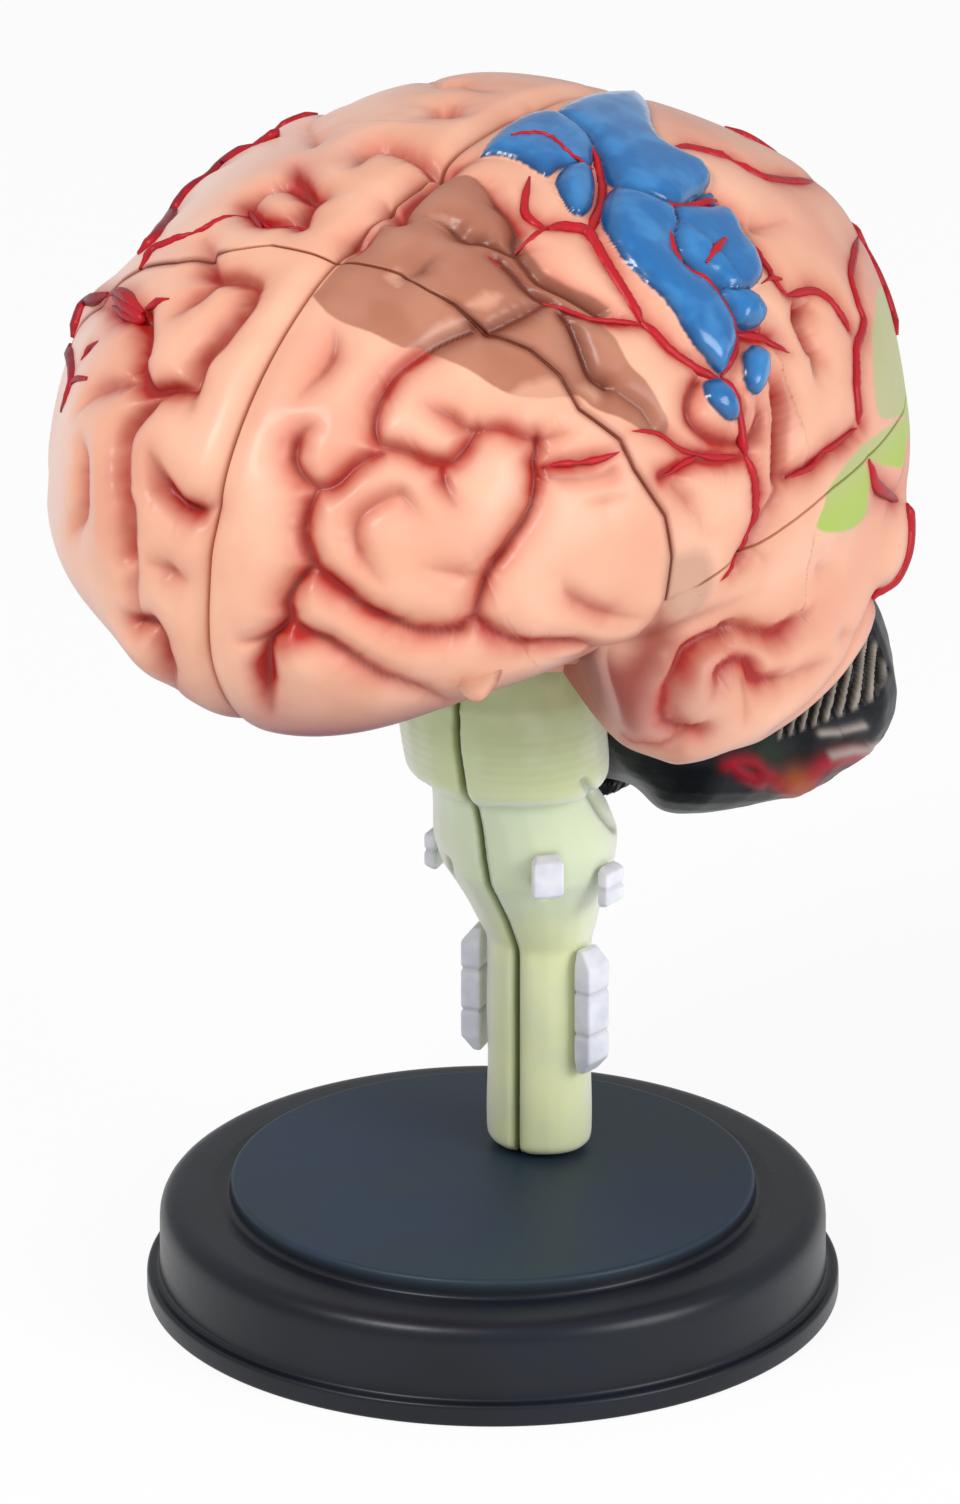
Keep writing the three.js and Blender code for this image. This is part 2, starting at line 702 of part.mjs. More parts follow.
// A slice has a shape drawn in y and z, and reaches from one x to another
function coreSlice(shape, from, to) {
  const geometry = new THREE.ExtrudeGeometry(shape, {
    depth: to - from,
    bevelEnabled: false,
    curveSegments: 10,
  });
  const basis = new THREE.Matrix4().makeBasis(vector(0, 1, 0), vector(0, 0, 1), vector(1, 0, 0));
  geometry.applyMatrix4(basis).translate(from, 0, 0);
  return toSolid(geometry).intersect(coreSolid);
}

// An arch between an inner ellipse and past the core's surface, from one angle to another
function arch(innerLength, innerHeight, fromDegrees, toDegrees) {
  const from = THREE.MathUtils.degToRad(fromDegrees);
  const to = THREE.MathUtils.degToRad(toDegrees);
  const shape = new THREE.Shape();
  shape.absellipse(0, 0, 1.2 * coreRadii.y, 1.2 * coreRadii.z, from, to, false);
  shape.absellipse(0, 0, innerLength, innerHeight, to, from, true);
  return shape;
}

function ellipse(halfLength, halfHeight) {
  const shape = new THREE.Shape();
  shape.absellipse(0, 0, halfLength, halfHeight, 0, 2 * Math.PI, false);
  return shape;
}

const coreSplit = CORE_SPLIT_SHARE * coreRadii.x;
const innerLayer = [MIDLINE_GAP, coreSplit];
const outerLayer = [coreSplit + CORE_GAP, coreRadii.x];
const callosumLength = coreRadii.y - CALLOSUM_THICKNESS;
const callosumHeight = coreRadii.z - CALLOSUM_THICKNESS;
const lensLength = 0.6 * coreRadii.y;
const lensHeight = 0.5 * coreRadii.z;

const CORE = {
  corpus_callosum: {
    colour: 0xe8d9c0,
    solid: coreSlice(arch(callosumLength, callosumHeight, -20, 200), ...innerLayer),
  },
  thalamus: {
    colour: 0xd98c6a,
    solid: coreSlice(ellipse(0.68 * coreRadii.y, 0.53 * coreRadii.z), ...innerLayer),
  },
  lateral_ventricle: {
    colour: 0x7fb2d6,
    solid: coreSlice(arch(lensLength + CORE_GAP, lensHeight + CORE_GAP, -12, 196), ...outerLayer),
  },
  caudate_nucleus: {
    colour: 0xc77b8c,
    solid: coreSlice(ellipse(lensLength, lensHeight), ...outerLayer),
  },
  hippocampus: {
    colour: 0xd9b45a,
    solid: coreSlice(arch(lensLength + CORE_GAP, lensHeight + CORE_GAP, 201, 343), ...outerLayer),
  },
};

// Cerebellum: an ellipsoid with shallow level folds, cut by the underside of the brain above it,
// with a gap, and by the stem
const CEREBELLUM_SLIDE = vector(0.12, 0.9, -0.42).normalize();

function cerebellumHalf() {
  const levels = 24;
  const size = vector(CEREBELLUM_WIDTH, CEREBELLUM_LENGTH, CEREBELLUM_HEIGHT);
  const geometry = ball(32, levels);
  const position = geometry.attributes.position;
  const point = vector(0, 0, 0);
  for (let i = 0; i < position.count; i += 1) {
    point.fromBufferAttribute(position, i);
    const lift = Math.asin(clamp(point.z, -1, 1));
    const fold = FOLIUM_DEPTH * Math.sin(levels * lift) ** 2;
    point.multiply(size.clone().multiplyScalar(0.5).subScalar(fold));
    position.setXYZ(i, point.x, point.y, point.z);
  }
  const floor = -FLOOR_SHARE * halfSize.z;
  geometry.translate(0, CEREBELLUM_SETBACK, floor - CEREBELLUM_DROP);
  const top = floor - CEREBELLUM_CLEARANCE;
  const block = new THREE.BoxGeometry(size.x, 2 * size.y, 2 * size.z)
    .translate(size.x / 2 + MIDLINE_GAP, CEREBELLUM_SETBACK, top - size.z);
  const stem = toSolid(stemHalf(STEM_CLEARANCE, 0));
  return toSolid(geometry).intersect(toSolid(block)).subtract(stem).subtract(toSolid(underside()));
}

// The brain's outline down to its floor, grown by the gap
function underside() {
  const geometry = ball(48, 32);
  const position = geometry.attributes.position;
  const way = vector(0, 0, 0);
  for (let i = 0; i < position.count; i += 1) {
    way.fromBufferAttribute(position, i).normalize();
    const free = outlineRadius(cortex, way);
    const reach = way.z < 0 ? Math.min(free, -FLOOR_SHARE / way.z) : free;
    const point = way.multiplyScalar(reach).multiply(halfSize);
    point.setLength(point.length() + CEREBELLUM_CLEARANCE);
    position.setXYZ(i, point.x, point.y, point.z);
  }
  return geometry;
}

// Pegs: each outer piece has one on its slide's line, and the core has a hole for it
function pegLine(name) {
  if (name === 'cerebellum') {
    const { y, z, halfWidth, halfDepth } = pegLevel;
    const start = vector(0.45 * halfWidth, y + halfDepth + PEG_ROOT, z - PEG_ROOT / 2);
    return { start, way: CEREBELLUM_SLIDE };
  }
  const slide = LOBES[name].slide.clone().multiply(halfSize);
  const way = slide.clone().normalize();
  return { start: slide.multiplyScalar(CAVITY_SHARE).addScaledVector(way, PEG_ROOT), way };
}

function peg(name, radius, extra) {
  const { start, way } = pegLine(name);
  const end = start.clone().addScaledVector(way, -(PEG_ROOT + PEG_LENGTH + extra));
  return rod(end, start.clone().addScaledVector(way, extra), radius);
}

const pegNames = [...Object.keys(LOBES), 'cerebellum'];
const pegHoles = pegNames.map((name) => peg(name, PEG_RADIUS + PEG_CLEARANCE, 2 * PEG_CLEARANCE));

// Pins across the middle join the two halves. They are part of the right half.
const MIDLINE_PINS = {
  thalamus: vector(0, 0, 0),
  brainstem: vector(0, pinLevel.y, pinLevel.z),
};

function midlinePin(name, from, to, radius) {
  const place = MIDLINE_PINS[name];
  return rod(vector(from, place.y, place.z), vector(to, place.y, place.z), radius);
}

const postHole = rod(
  vector(0, STALK_SETBACK, -STEM_LENGTH - SEAT_GAP),
  vector(0, STALK_SETBACK, POST_HEIGHT + POST_CLEARANCE - STEM_LENGTH),
  POST_RADIUS + POST_CLEARANCE,
  16,
);

// The left solid of a core piece, with its holes, or the right one, with its pin
function corePiece(name, solid, side) {
  const cut = [...pegHoles, postHole].reduce((rest, hole) => rest.subtract(hole), solid);
  if (!(name in MIDLINE_PINS)) return side > 0 ? toGeometry(cut) : mirrored(toGeometry(cut));
  const hole = midlinePin(name, -1, PEG_LENGTH + PEG_CLEARANCE, PEG_RADIUS + PEG_CLEARANCE);
  if (side > 0) return toGeometry(cut.subtract(hole));
  const pin = midlinePin(name, -PEG_ROOT, PEG_LENGTH, PEG_RADIUS);
  return toGeometry(toSolid(mirrored(toGeometry(cut))).add(pin));
}

// Display base: a turned shell, open underneath, with a post for the stem
function displayBase() {
  const radius = BASE_DIAMETER / 2;
  const shoulder = radius - SHOULDER_INSET;
  const ridge = radius - RIDGE_INSET;
  const under = BASE_HEIGHT - BASE_WALL;
  const profile = [
    [0, under], [PLATEAU_RADIUS - BASE_WALL, under],
    [ridge - BASE_WALL, RIDGE_HEIGHT - BASE_WALL], [shoulder - BASE_WALL, FLANGE_HEIGHT],
    [radius - BASE_WALL, 0], [radius, 0], [radius, FLANGE_HEIGHT - EDGE_ROUNDING],
    [radius - EDGE_ROUNDING, FLANGE_HEIGHT], [shoulder, FLANGE_HEIGHT],
    [shoulder, 0.55 * RIDGE_HEIGHT], [shoulder - EDGE_ROUNDING, 0.8 * RIDGE_HEIGHT],
    [ridge, RIDGE_HEIGHT], [PLATEAU_RADIUS, RIDGE_HEIGHT],
    [PLATEAU_RADIUS, BASE_HEIGHT - EDGE_ROUNDING], [PLATEAU_RADIUS - EDGE_ROUNDING, BASE_HEIGHT],
    [0, BASE_HEIGHT],
  ].map(([x, y]) => new THREE.Vector2(x, y));
  const shell = outward(new THREE.LatheGeometry(profile, 56).rotateX(Math.PI / 2));
  const postAt = (height) => vector(0, STALK_SETBACK - BASE_SETBACK, height);
  const post = rod(
    postAt(BASE_HEIGHT - BASE_WALL / 2), postAt(BASE_HEIGHT + POST_HEIGHT), POST_RADIUS, 16,
  );
  return toGeometry(toSolid(shell).add(post));
}

// Assembly
const model = new THREE.Group();
const brain = new THREE.Group();
brain.position.copy(centre);
model.add(brain);

function addPiece(parent, name, geometry, color, roughness = 0.45) {
  const material = new THREE.MeshStandardMaterial({ color, roughness, metalness: 0 });
  const mesh = new THREE.Mesh(geometry, material);
  mesh.name = name;
  parent.add(mesh);
  return mesh;
}

const base = addPiece(model, 'display_base', displayBase(), 0x2c3648, 0.35);
base.position.set(0, centre.y + BASE_SETBACK, 0);

const stemSolid = toSolid(stemHalf(0, MIDLINE_GAP));
const cerebellumSolid = cerebellumHalf().add(peg('cerebellum', PEG_RADIUS, 0));
for (const [sideName, side] of [['left', 1], ['right', -1]]) {
  addPiece(brain, `brainstem_${sideName}`, corePiece('brainstem', stemSolid, side), 0xc9d49a);
  for (const [name, { colour, solid }] of Object.entries(CORE)) {
    addPiece(brain, `${name}_${sideName}`, corePiece(name, solid, side), colour);
  }
  for (const [name, form] of Object.entries(LOBES)) {
    const pegSolid = peg(name, PEG_RADIUS, 0);
    const pegSide = side > 0 ? pegSolid : toSolid(mirrored(toGeometry(pegSolid)));
    const solid = toSolid(lobe(form, side)).add(pegSide);
    addPiece(brain, `${name}_lobe_${sideName}`, toGeometry(solid), form.colour);
  }
  const half = toGeometry(cerebellumSolid);
  addPiece(brain, `cerebellum_${sideName}`, side > 0 ? half : mirrored(half), 0x2b2b2e, 0.25);
  for (const [name, form] of Object.entries(NERVES)) {
    if (name === 'nerve_front' && side < 0) continue;
    addPiece(brain, `${name}_${sideName}`, nervePiece(form, side), 0xe9ebef, 0.3);
  }
}

export default model;
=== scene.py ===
"""Anatomical brain model: the looks of its lobes, cerebellum, stem, nerves, inner pieces and base."""

import json
import math
from dataclasses import dataclass

import bpy
import numpy as np
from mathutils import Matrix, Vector
from mathutils.kdtree import KDTree


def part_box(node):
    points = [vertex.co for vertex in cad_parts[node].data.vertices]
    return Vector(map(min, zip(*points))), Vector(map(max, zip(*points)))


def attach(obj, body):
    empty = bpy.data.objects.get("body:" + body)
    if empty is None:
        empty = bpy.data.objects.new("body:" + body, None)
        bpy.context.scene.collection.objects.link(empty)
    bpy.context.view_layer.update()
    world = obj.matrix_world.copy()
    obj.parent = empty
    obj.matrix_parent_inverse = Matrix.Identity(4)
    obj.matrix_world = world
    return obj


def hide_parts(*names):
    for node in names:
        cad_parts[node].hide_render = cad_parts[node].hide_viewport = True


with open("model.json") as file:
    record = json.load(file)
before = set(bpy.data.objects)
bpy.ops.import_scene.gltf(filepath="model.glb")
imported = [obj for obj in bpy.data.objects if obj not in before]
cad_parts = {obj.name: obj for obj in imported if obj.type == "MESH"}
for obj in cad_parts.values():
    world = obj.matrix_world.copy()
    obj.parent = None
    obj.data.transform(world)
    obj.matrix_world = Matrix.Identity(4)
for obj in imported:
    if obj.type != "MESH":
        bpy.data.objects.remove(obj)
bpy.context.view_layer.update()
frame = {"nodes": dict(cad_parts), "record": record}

bl_info = {
    "name": "Anatomical Brain Model",
    "version": (1, 0, 0),
    "blender": (4, 5, 0),
    "location": "3D View > Sidebar > Brain Model",
    "description": "Builds the painted lobes, arteries, stem and base of a take-apart brain model",
    "category": "Object",
}

MM = 0.001
SIDES = {"left": 1, "right": -1}
VIEW_TURN = 30
VIEW_TILT = 22.9
IMAGE_SIZE = np.array([960, 1504])


def srgb(red, green, blue):
    """A colour written as in paint charts, 0 to 255, as the linear numbers that shaders use."""
    shares = [value / 255 for value in (red, green, blue)]
    return tuple(s / 12.92 if s <= 0.04045 else ((s + 0.055) / 1.055) ** 2.4 for s in shares)


# Sizes and colours

def length(name, description, default):
    return bpy.props.FloatProperty(
        name=name, description=description, default=default, min=0, unit="LENGTH", precision=5
    )


def colour(name, description, *default):
    return bpy.props.FloatVectorProperty(
        name=name, description=description, default=srgb(*default), min=0, max=1, size=3,
        subtype="COLOR",
    )


class BrainSizes(bpy.types.PropertyGroup):
    """Sizes of the brain and of what is moulded on it"""

    brain_length: length("Brain length", "From the front of the brain to its back", 0.118)
    brain_width: length("Brain width", "Across both halves", 0.088)
    brain_height: length("Brain height", "From the temporal lobes' underside to the top", 0.070)
    groove_depth: length("Groove depth", "How deep a full groove is", 0.0030)
    fold_rounding: length("Fold rounding", "How far the rounding of a fold reaches", 0.0058)
    fissure_reach: length("Fissure reach", "Half the width of the groove between halves", 0.0032)
    fissure_depth: length("Fissure depth", "Depth of the groove between the halves", 0.0013)
    fold_pitch: length("Fold pitch", "Width of a fold where the drawing shows none", 0.011)
    mesh_step: length("Mesh step", "Spacing of the points on the lobes", 0.00036)
    lobe_gap: length("Lobe gap", "How far each lobe stands out along its peg", 0.0002)
    seam_rounding: length("Seam rounding", "Radius of the lobes' edges", 0.0004)
    artery_radius: length("Artery radius", "Radius of a full artery", 0.00056)
    stalk_setback: length("Stalk setback", "From the brain's middle back to the stalk", 0.0144)
    base_diameter: length("Base diameter", "Across the display base", 0.080)
    base_height: length("Base height", "Up to the base's top face", 0.014)
    base_wall: length("Base wall", "Thickness of the base's shell", 0.0022)
    flange_height: length("Flange height", "Height of the base's thin rim", 0.0027)
    plateau_radius: length("Plateau radius", "Radius of the base's raised top face", 0.0302)
    post_radius: length("Post radius", "Radius of the post that the stem stands on", 0.0025)


class BrainColours(bpy.types.PropertyGroup):
    """Colours of the plastic and of the paint on it"""

    flesh: colour("Flesh", "Plastic of the lobes", 234, 173, 144)
    flesh_pale: colour("Pale flesh", "Lighter patches of the lobes", 242, 186, 158)
    blush: colour("Blush", "Pinker patches of the lobes", 230, 156, 134)
    # Painted shade: under the frontal lobes, and towards the outline of the left half
    underside: colour("Underside", "Purplish shade under the frontal lobes", 130, 80, 98)
    groove_red: colour("Groove red", "Paint that is sprayed into the grooves", 180, 36, 28)
    # Painted shade at the bottom of the grooves, along the lobes' seams and in the flap's crack
    groove_dark: colour("Groove dark", "Bottom of the grooves", 128, 34, 26)
    brown: colour("Brown", "Painted area beside the front seam", 172, 108, 84)
    # Painted shade in the creases of the brown area
    brown_crease: colour("Brown crease", "Creases of the brown area", 104, 48, 32)
    blue: colour("Blue", "Painted area at the top of the parietal lobe", 30, 104, 168)
    blue_pale: colour("Pale blue", "Lighter patches of the blue area", 56, 130, 192)
    # Painted shade at the margins of the blue area's lumps
    blue_deep: colour("Deep blue", "Creases of the blue area", 14, 54, 100)
    green: colour("Green", "Lower painted area on the side", 160, 192, 66)
    green_pale: colour("Pale green", "Upper painted area on the side", 178, 184, 132)
    grey: colour("Grey", "Faded patch at the side corner", 178, 140, 118)
    shadow: colour("Shadow", "Shade at the front of the temporal lobe", 150, 58, 46)
    artery: colour("Artery", "Arteries on the surface", 188, 22, 36)
    cerebellum: colour("Cerebellum", "Dark paint of the cerebellum", 18, 19, 24)
    stem: colour("Stem", "Plastic of the brain stem", 236, 243, 190)
    # Painted shade under the brain
    stem_shade: colour("Stem shade", "Upper part of the brain stem", 184, 200, 150)
    stem_seam: colour("Stem seam", "Shade along the seam of the stem", 128, 142, 80)
    nerve: colour("Nerve", "Plastic of the nerve pieces", 243, 245, 255)
    base: colour("Base", "Plastic of the display base", 16, 20, 28)
    # Painted reflection of the light from above, on the top face
    plateau: colour("Plateau", "Top face of the display base", 34, 50, 72)


class StageSettings(bpy.types.PropertyGroup):
    """Camera and light"""

    view_turn: bpy.props.FloatProperty(
        name="View turn", description="Camera's angle to the left of the front",
        default=math.radians(VIEW_TURN), subtype="ANGLE",
    )
    view_tilt: bpy.props.FloatProperty(
        name="View tilt", description="Camera's angle above the horizon",
        default=math.radians(VIEW_TILT), subtype="ANGLE",
    )
    view_distance: length("View distance", "From the camera to the middle of the brain", 3.0)
    key_power: bpy.props.FloatProperty(
        name="Key lamp", description="Power of the lamp at the upper left", default=2.5,
        min=0, unit="POWER",
    )
    fill_power: bpy.props.FloatProperty(
        name="Fill lamp", description="Power of the lamp at the right", default=2.0,
        min=0, unit="POWER",
    )


# The drawing: pixels of the view at the turn and tilt above. It gives the brain's middle, its half
# sizes across, from front to back and upwards, and how many millimetres a pixel shows.

DRAWING_CENTRE = np.array([477.0, 441.0])
DRAWING_HALF_SIZE = np.array([386.0, 495.6, 331.6])
PIXEL = 0.114

# Depths in pixels, from the near side, where the outline is looked for behind a pixel
RAY_DEPTHS = np.arange(644.0, -200.0, -4.0)

FRONTAL_SEAM = [
    (345, 268), (400, 280), (428, 297), (454, 312), (484, 336), (528, 356), (558, 382),
    (576, 415), (617, 445), (632, 475), (662, 520), (668, 560), (662, 605),
]
TEMPORAL_SEAM = [(690, 590), (745, 555), (830, 490), (892, 425)]
FRONTAL_UNDERSIDE_SEAM = [(640, 632), (604, 655)]

# Grooves: the shares of the full depth and of the full paint, and the points that each passes
GROOVES = [
    # left frontal lobe
    (1.0, 0.9, [(472, 334), (455, 341), (437, 350), (420, 361), (400, 376), (387, 392), (377, 412),
        (373, 432), (377, 450), (395, 455), (410, 460), (425, 467), (440, 470), (452, 468), (463, 458),
        (472, 444), (478, 436)]),
    (0.7, 0.8, [(428, 410), (440, 417), (452, 423), (463, 432), (478, 436), (492, 434), (506, 435),
        (520, 441), (537, 444), (550, 442), (566, 436)]),
    (0.9, 0.9, [(316, 430), (303, 437), (296, 450), (293, 465), (297, 477), (304, 486), (315, 496)]),
    (1.0, 0.9, [(315, 496), (330, 493), (340, 486), (352, 474), (365, 465), (380, 459)]),
    (0.7, 0.9, [(441, 471), (443, 487), (448, 498), (455, 510)]),
    (1.0, 1.0, [(315, 496), (308, 512), (304, 527), (303, 542), (307, 558), (313, 573)]),
    (1.0, 1.0, [(313, 573), (300, 584), (290, 597), (286, 610), (289, 623), (281, 634), (268, 643),
        (255, 645), (243, 644)]),
    (1.0, 1.0, [(268, 644), (266, 660), (267, 680), (271, 695), (277, 708)]),
    (1.0, 1.0, [(313, 573), (330, 587), (346, 601), (362, 614), (380, 623), (398, 631), (416, 637),
        (436, 638), (455, 636), (463, 630), (474, 622)]),
    (1.0, 0.95, [(474, 622), (480, 600), (484, 584), (492, 571), (502, 557), (513, 541), (524, 526),
        (531, 512), (535, 495), (536, 478), (534, 468), (538, 455), (537, 444)]),
    (1.0, 0.9, [(474, 622), (484, 633), (496, 641), (512, 648), (530, 651), (548, 650), (575, 649),
        (598, 651)]),
    (0.7, 0.5, [(421, 520), (410, 510), (400, 500), (386, 504), (370, 513), (358, 524), (355, 540),
        (359, 556), (368, 570), (382, 585)]),
    (0.4, 0.4, [(425, 568), (440, 573), (460, 578), (484, 578)]),
    (0.9, 0.75, [(289, 625), (298, 635), (311, 642), (328, 647), (344, 658), (362, 670), (380, 680),
        (402, 688), (425, 696), (450, 702)]),
    (0.6, 0.7, [(336, 335), (336, 350), (333, 363), (325, 376), (315, 388), (302, 402)]),
    (0.6, 0.5, [(562, 584), (566, 595), (575, 604), (590, 612), (606, 617), (622, 619), (640, 620)]),
    (0.3, 0.4, [(541, 480), (560, 483), (588, 482), (612, 476)]),
    (0.3, 0.3, [(584, 506), (604, 507), (624, 501)]),
    (0.5, 0.9, [(545, 473), (565, 470), (585, 469), (605, 462), (620, 455)]),
    (0.3, 0.6, [(460, 684), (466, 678)]),
    # right frontal lobe
    (1.1, 0.7, [(83, 447), (82, 467), (80, 480), (79, 497), (77, 512), (70, 528), (64, 536)]),
    (1.3, 0.8, [(150, 407), (140, 417), (130, 430), (125, 442), (121, 458), (120, 480), (121, 500),
        (123, 520), (123, 540), (125, 562)]),
    (1.3, 1.1, [(153, 458), (157, 477), (163, 493), (177, 510), (193, 517), (204, 516), (214, 513)]),
    (0.9, 0.7, [(155, 566), (168, 574), (178, 580), (190, 584)]),
    (0.7, 0.4, [(130, 513), (131, 560), (130, 597), (133, 630)]),
    (1.2, 0.9, [(131, 631), (145, 630), (155, 634), (163, 652), (173, 673), (187, 693)]),
    (1.2, 0.9, [(204, 243), (206, 256), (204, 272), (213, 281), (230, 280), (243, 284), (252, 289),
        (247, 303), (238, 320), (222, 340), (213, 352), (203, 362), (197, 374), (193, 390), (192, 402),
        (196, 415)]),
    (1.0, 0.9, [(213, 282), (202, 296), (190, 308), (177, 320)]),
    (1.2, 1.1, [(141, 322), (142, 340), (140, 358), (137, 380), (146, 396), (160, 395), (177, 394),
        (190, 396)]),
    (0.8, 0.6, [(134, 386), (118, 390), (103, 394), (88, 402), (80, 413)]),
    (0.5, 0.9, [(96, 307), (110, 312), (122, 322), (138, 322)]),
    (0.4, 0.8, [(100, 345), (88, 352), (80, 362)]),
    # top, where both halves meet
    (1.0, 0.8, [(355, 168), (362, 157), (370, 149), (382, 144), (396, 148), (412, 154), (428, 162),
        (443, 172)]),
    (1.4, 1.0, [(436, 107), (443, 112), (450, 110), (456, 104)]),
    (0.9, 0.7, [(310, 130), (314, 140), (313, 148)]),
    (1.2, 1.2, [(384, 204), (390, 211), (398, 221)]),
    (1.1, 1.2, [(346, 262), (352, 253), (362, 243), (378, 234)]),
    (0.7, 0.6, [(312, 78), (330, 86), (352, 88), (376, 96)]),
    (0.6, 0.5, [(420, 84), (440, 90), (462, 88), (486, 94)]),
    (0.8, 1.0, [(398, 221), (404, 210), (412, 198), (427, 184), (445, 173), (462, 163), (480, 160)]),
    (0.6, 0.7, [(536, 104), (545, 113), (552, 119)]),
    (1.0, 0.9, [(242, 211), (250, 202), (262, 192), (275, 188), (288, 185), (298, 190), (308, 198),
        (318, 198), (308, 206), (301, 216), (298, 229)]),
    (1.0, 1.0, [(295, 166), (298, 176), (302, 188), (308, 197)]),
    (0.8, 0.9, [(242, 211), (255, 222), (270, 226), (285, 224), (299, 227)]),
    # left parietal lobe, beside the arteries too
    (0.9, 1.0, [(424, 222), (438, 224), (450, 230), (458, 238), (468, 242), (482, 242), (505, 251),
        (516, 255)]),
    (0.7, 0.8, [(398, 285), (415, 280), (425, 270), (435, 262)]),
    (1.0, 1.0, [(475, 182), (488, 192), (496, 202), (508, 214), (515, 232), (512, 245), (518, 253)]),
    (1.0, 1.1, [(497, 260), (508, 270), (520, 284), (535, 298), (550, 305)]),
    (0.6, 0.9, [(550, 305), (577, 319), (608, 327), (635, 328), (645, 330)]),
    (0.8, 0.9, [(550, 304), (530, 316), (508, 328), (486, 337)]),
    (1.0, 1.0, [(516, 255), (538, 282), (569, 298), (600, 317)]),
    (1.0, 1.1, [(562, 316), (570, 328), (577, 344), (586, 369), (594, 384), (606, 392)]),
    (0.5, 0.5, [(606, 392), (622, 402), (640, 415), (650, 430)]),
    (0.5, 0.9, [(528, 190), (524, 206), (527, 217), (540, 228), (560, 230), (585, 233), (600, 255),
        (615, 280), (630, 305), (645, 328), (655, 338), (675, 358), (695, 370), (712, 380)]),
    (0.6, 0.8, [(590, 158), (600, 170), (605, 190), (600, 210), (592, 235)]),
    (0.4, 0.9, [(663, 240), (670, 258), (685, 272), (700, 280), (712, 290), (722, 308), (732, 325),
        (737, 336), (734, 352), (728, 365), (722, 380)]),
    (0.5, 1.0, [(722, 380), (732, 394), (740, 412), (745, 440), (748, 462), (756, 485), (757, 514),
        (752, 535), (740, 560)]),
    (0.6, 0.7, [(740, 560), (730, 575), (718, 584)]),
    (0.6, 0.9, [(737, 336), (752, 337), (765, 340), (780, 350), (790, 357)]),
    (0.7, 1.0, [(700, 385), (689, 404), (690, 424), (705, 440), (725, 446), (742, 448)]),
    (0.6, 0.9, [(752, 398), (760, 418), (756, 436), (746, 450)]),
    (1.2, 1.1, [(770, 372), (779, 392), (783, 425), (781, 450), (781, 478)]),
    (0.4, 0.6, [(781, 478), (775, 500), (764, 516)]),
    (0.3, 0.9, [(672, 149), (690, 147), (715, 151), (735, 158), (750, 168), (765, 175), (790, 180),
        (820, 188)]),
    (0.25, 0.9, [(855, 238), (854, 260), (853, 280), (858, 300), (865, 320), (862, 337), (857, 350),
        (857, 400), (860, 425)]),
    (0.3, 0.8, [(745, 240), (755, 255), (770, 275), (790, 298), (810, 292), (825, 295), (840, 312),
        (850, 330)]),
    (1.0, 1.1, [(805, 305), (803, 325), (812, 345), (818, 360), (815, 378)]),
    (0.4, 1.0, [(856, 434), (840, 446), (824, 458), (812, 468), (788, 480)]),
    (0.5, 0.5, [(755, 228), (770, 226), (785, 222)]),
    (0.6, 0.7, [(672, 212), (692, 205), (713, 200), (728, 206), (739, 222), (745, 240)]),
    (0.5, 0.8, [(628, 437), (645, 437), (660, 440), (670, 447), (682, 455), (700, 460), (720, 463),
        (742, 462)]),
    (0.6, 0.9, [(742, 462), (715, 464), (695, 465), (680, 472), (660, 482)]),
    (0.6, 0.4, [(672, 490), (684, 503), (697, 520), (705, 538)]),
    (0.4, 0.3, [(818, 582), (819, 571), (830, 565)]),
    # left temporal lobe
    (1.0, 0.9, [(812, 610), (805, 622), (795, 632), (782, 640), (764, 640), (750, 636), (738, 633),
        (726, 635)]),
    (1.0, 1.0, [(735, 640), (716, 644), (700, 650), (689, 660), (681, 675), (674, 692), (667, 708),
        (666, 720), (673, 731), (686, 739), (700, 738)]),
    (0.8, 0.9, [(720, 680), (730, 672), (744, 665), (754, 671), (754, 682), (763, 687), (780, 686)]),
    (0.5, 0.5, [(780, 686), (795, 678), (812, 668), (828, 661)]),
    (0.4, 0.5, [(706, 702), (713, 694), (720, 684)]),
    (0.7, 0.5, [(578, 742), (592, 752), (612, 756), (640, 756), (662, 754), (680, 747), (692, 740)]),
    (0.4, 0.4, [(744, 684), (745, 704), (743, 724)]),
    (0.4, 0.3, [(836, 640), (846, 634), (858, 634)]),
    (0.2, 0.9, [(864, 452), (870, 468), (875, 487), (884, 500), (894, 506), (897, 525), (897, 545)]),
    (0.4, 0.6, [(764, 518), (750, 545), (762, 560)]),
]

# Soft rises of the lobes: the pixel and the height and width in millimetres
RISES = [
    ((303, 735), 2.7, 8), ((225, 715), 1.5, 8), ((385, 722), 1.3, 7), ((905, 530), 3.2, 8),
    ((905, 450), 0.8, 7), ((825, 190), 1.6, 9), ((470, 78), 1.3, 12), ((350, 105), 0.5, 9),
    ((160, 672), 1.2, 6), ((110, 250), -1.0, 6), ((285, 125), 1.2, 6), ((205, 178), 0.8, 6),
    ((45, 500), -1.4, 12), ((90, 600), -1.5, 10), ((130, 245), -1.2, 7), ((55, 400), -0.8, 8),
    ((88, 296), 1.2, 4),
]

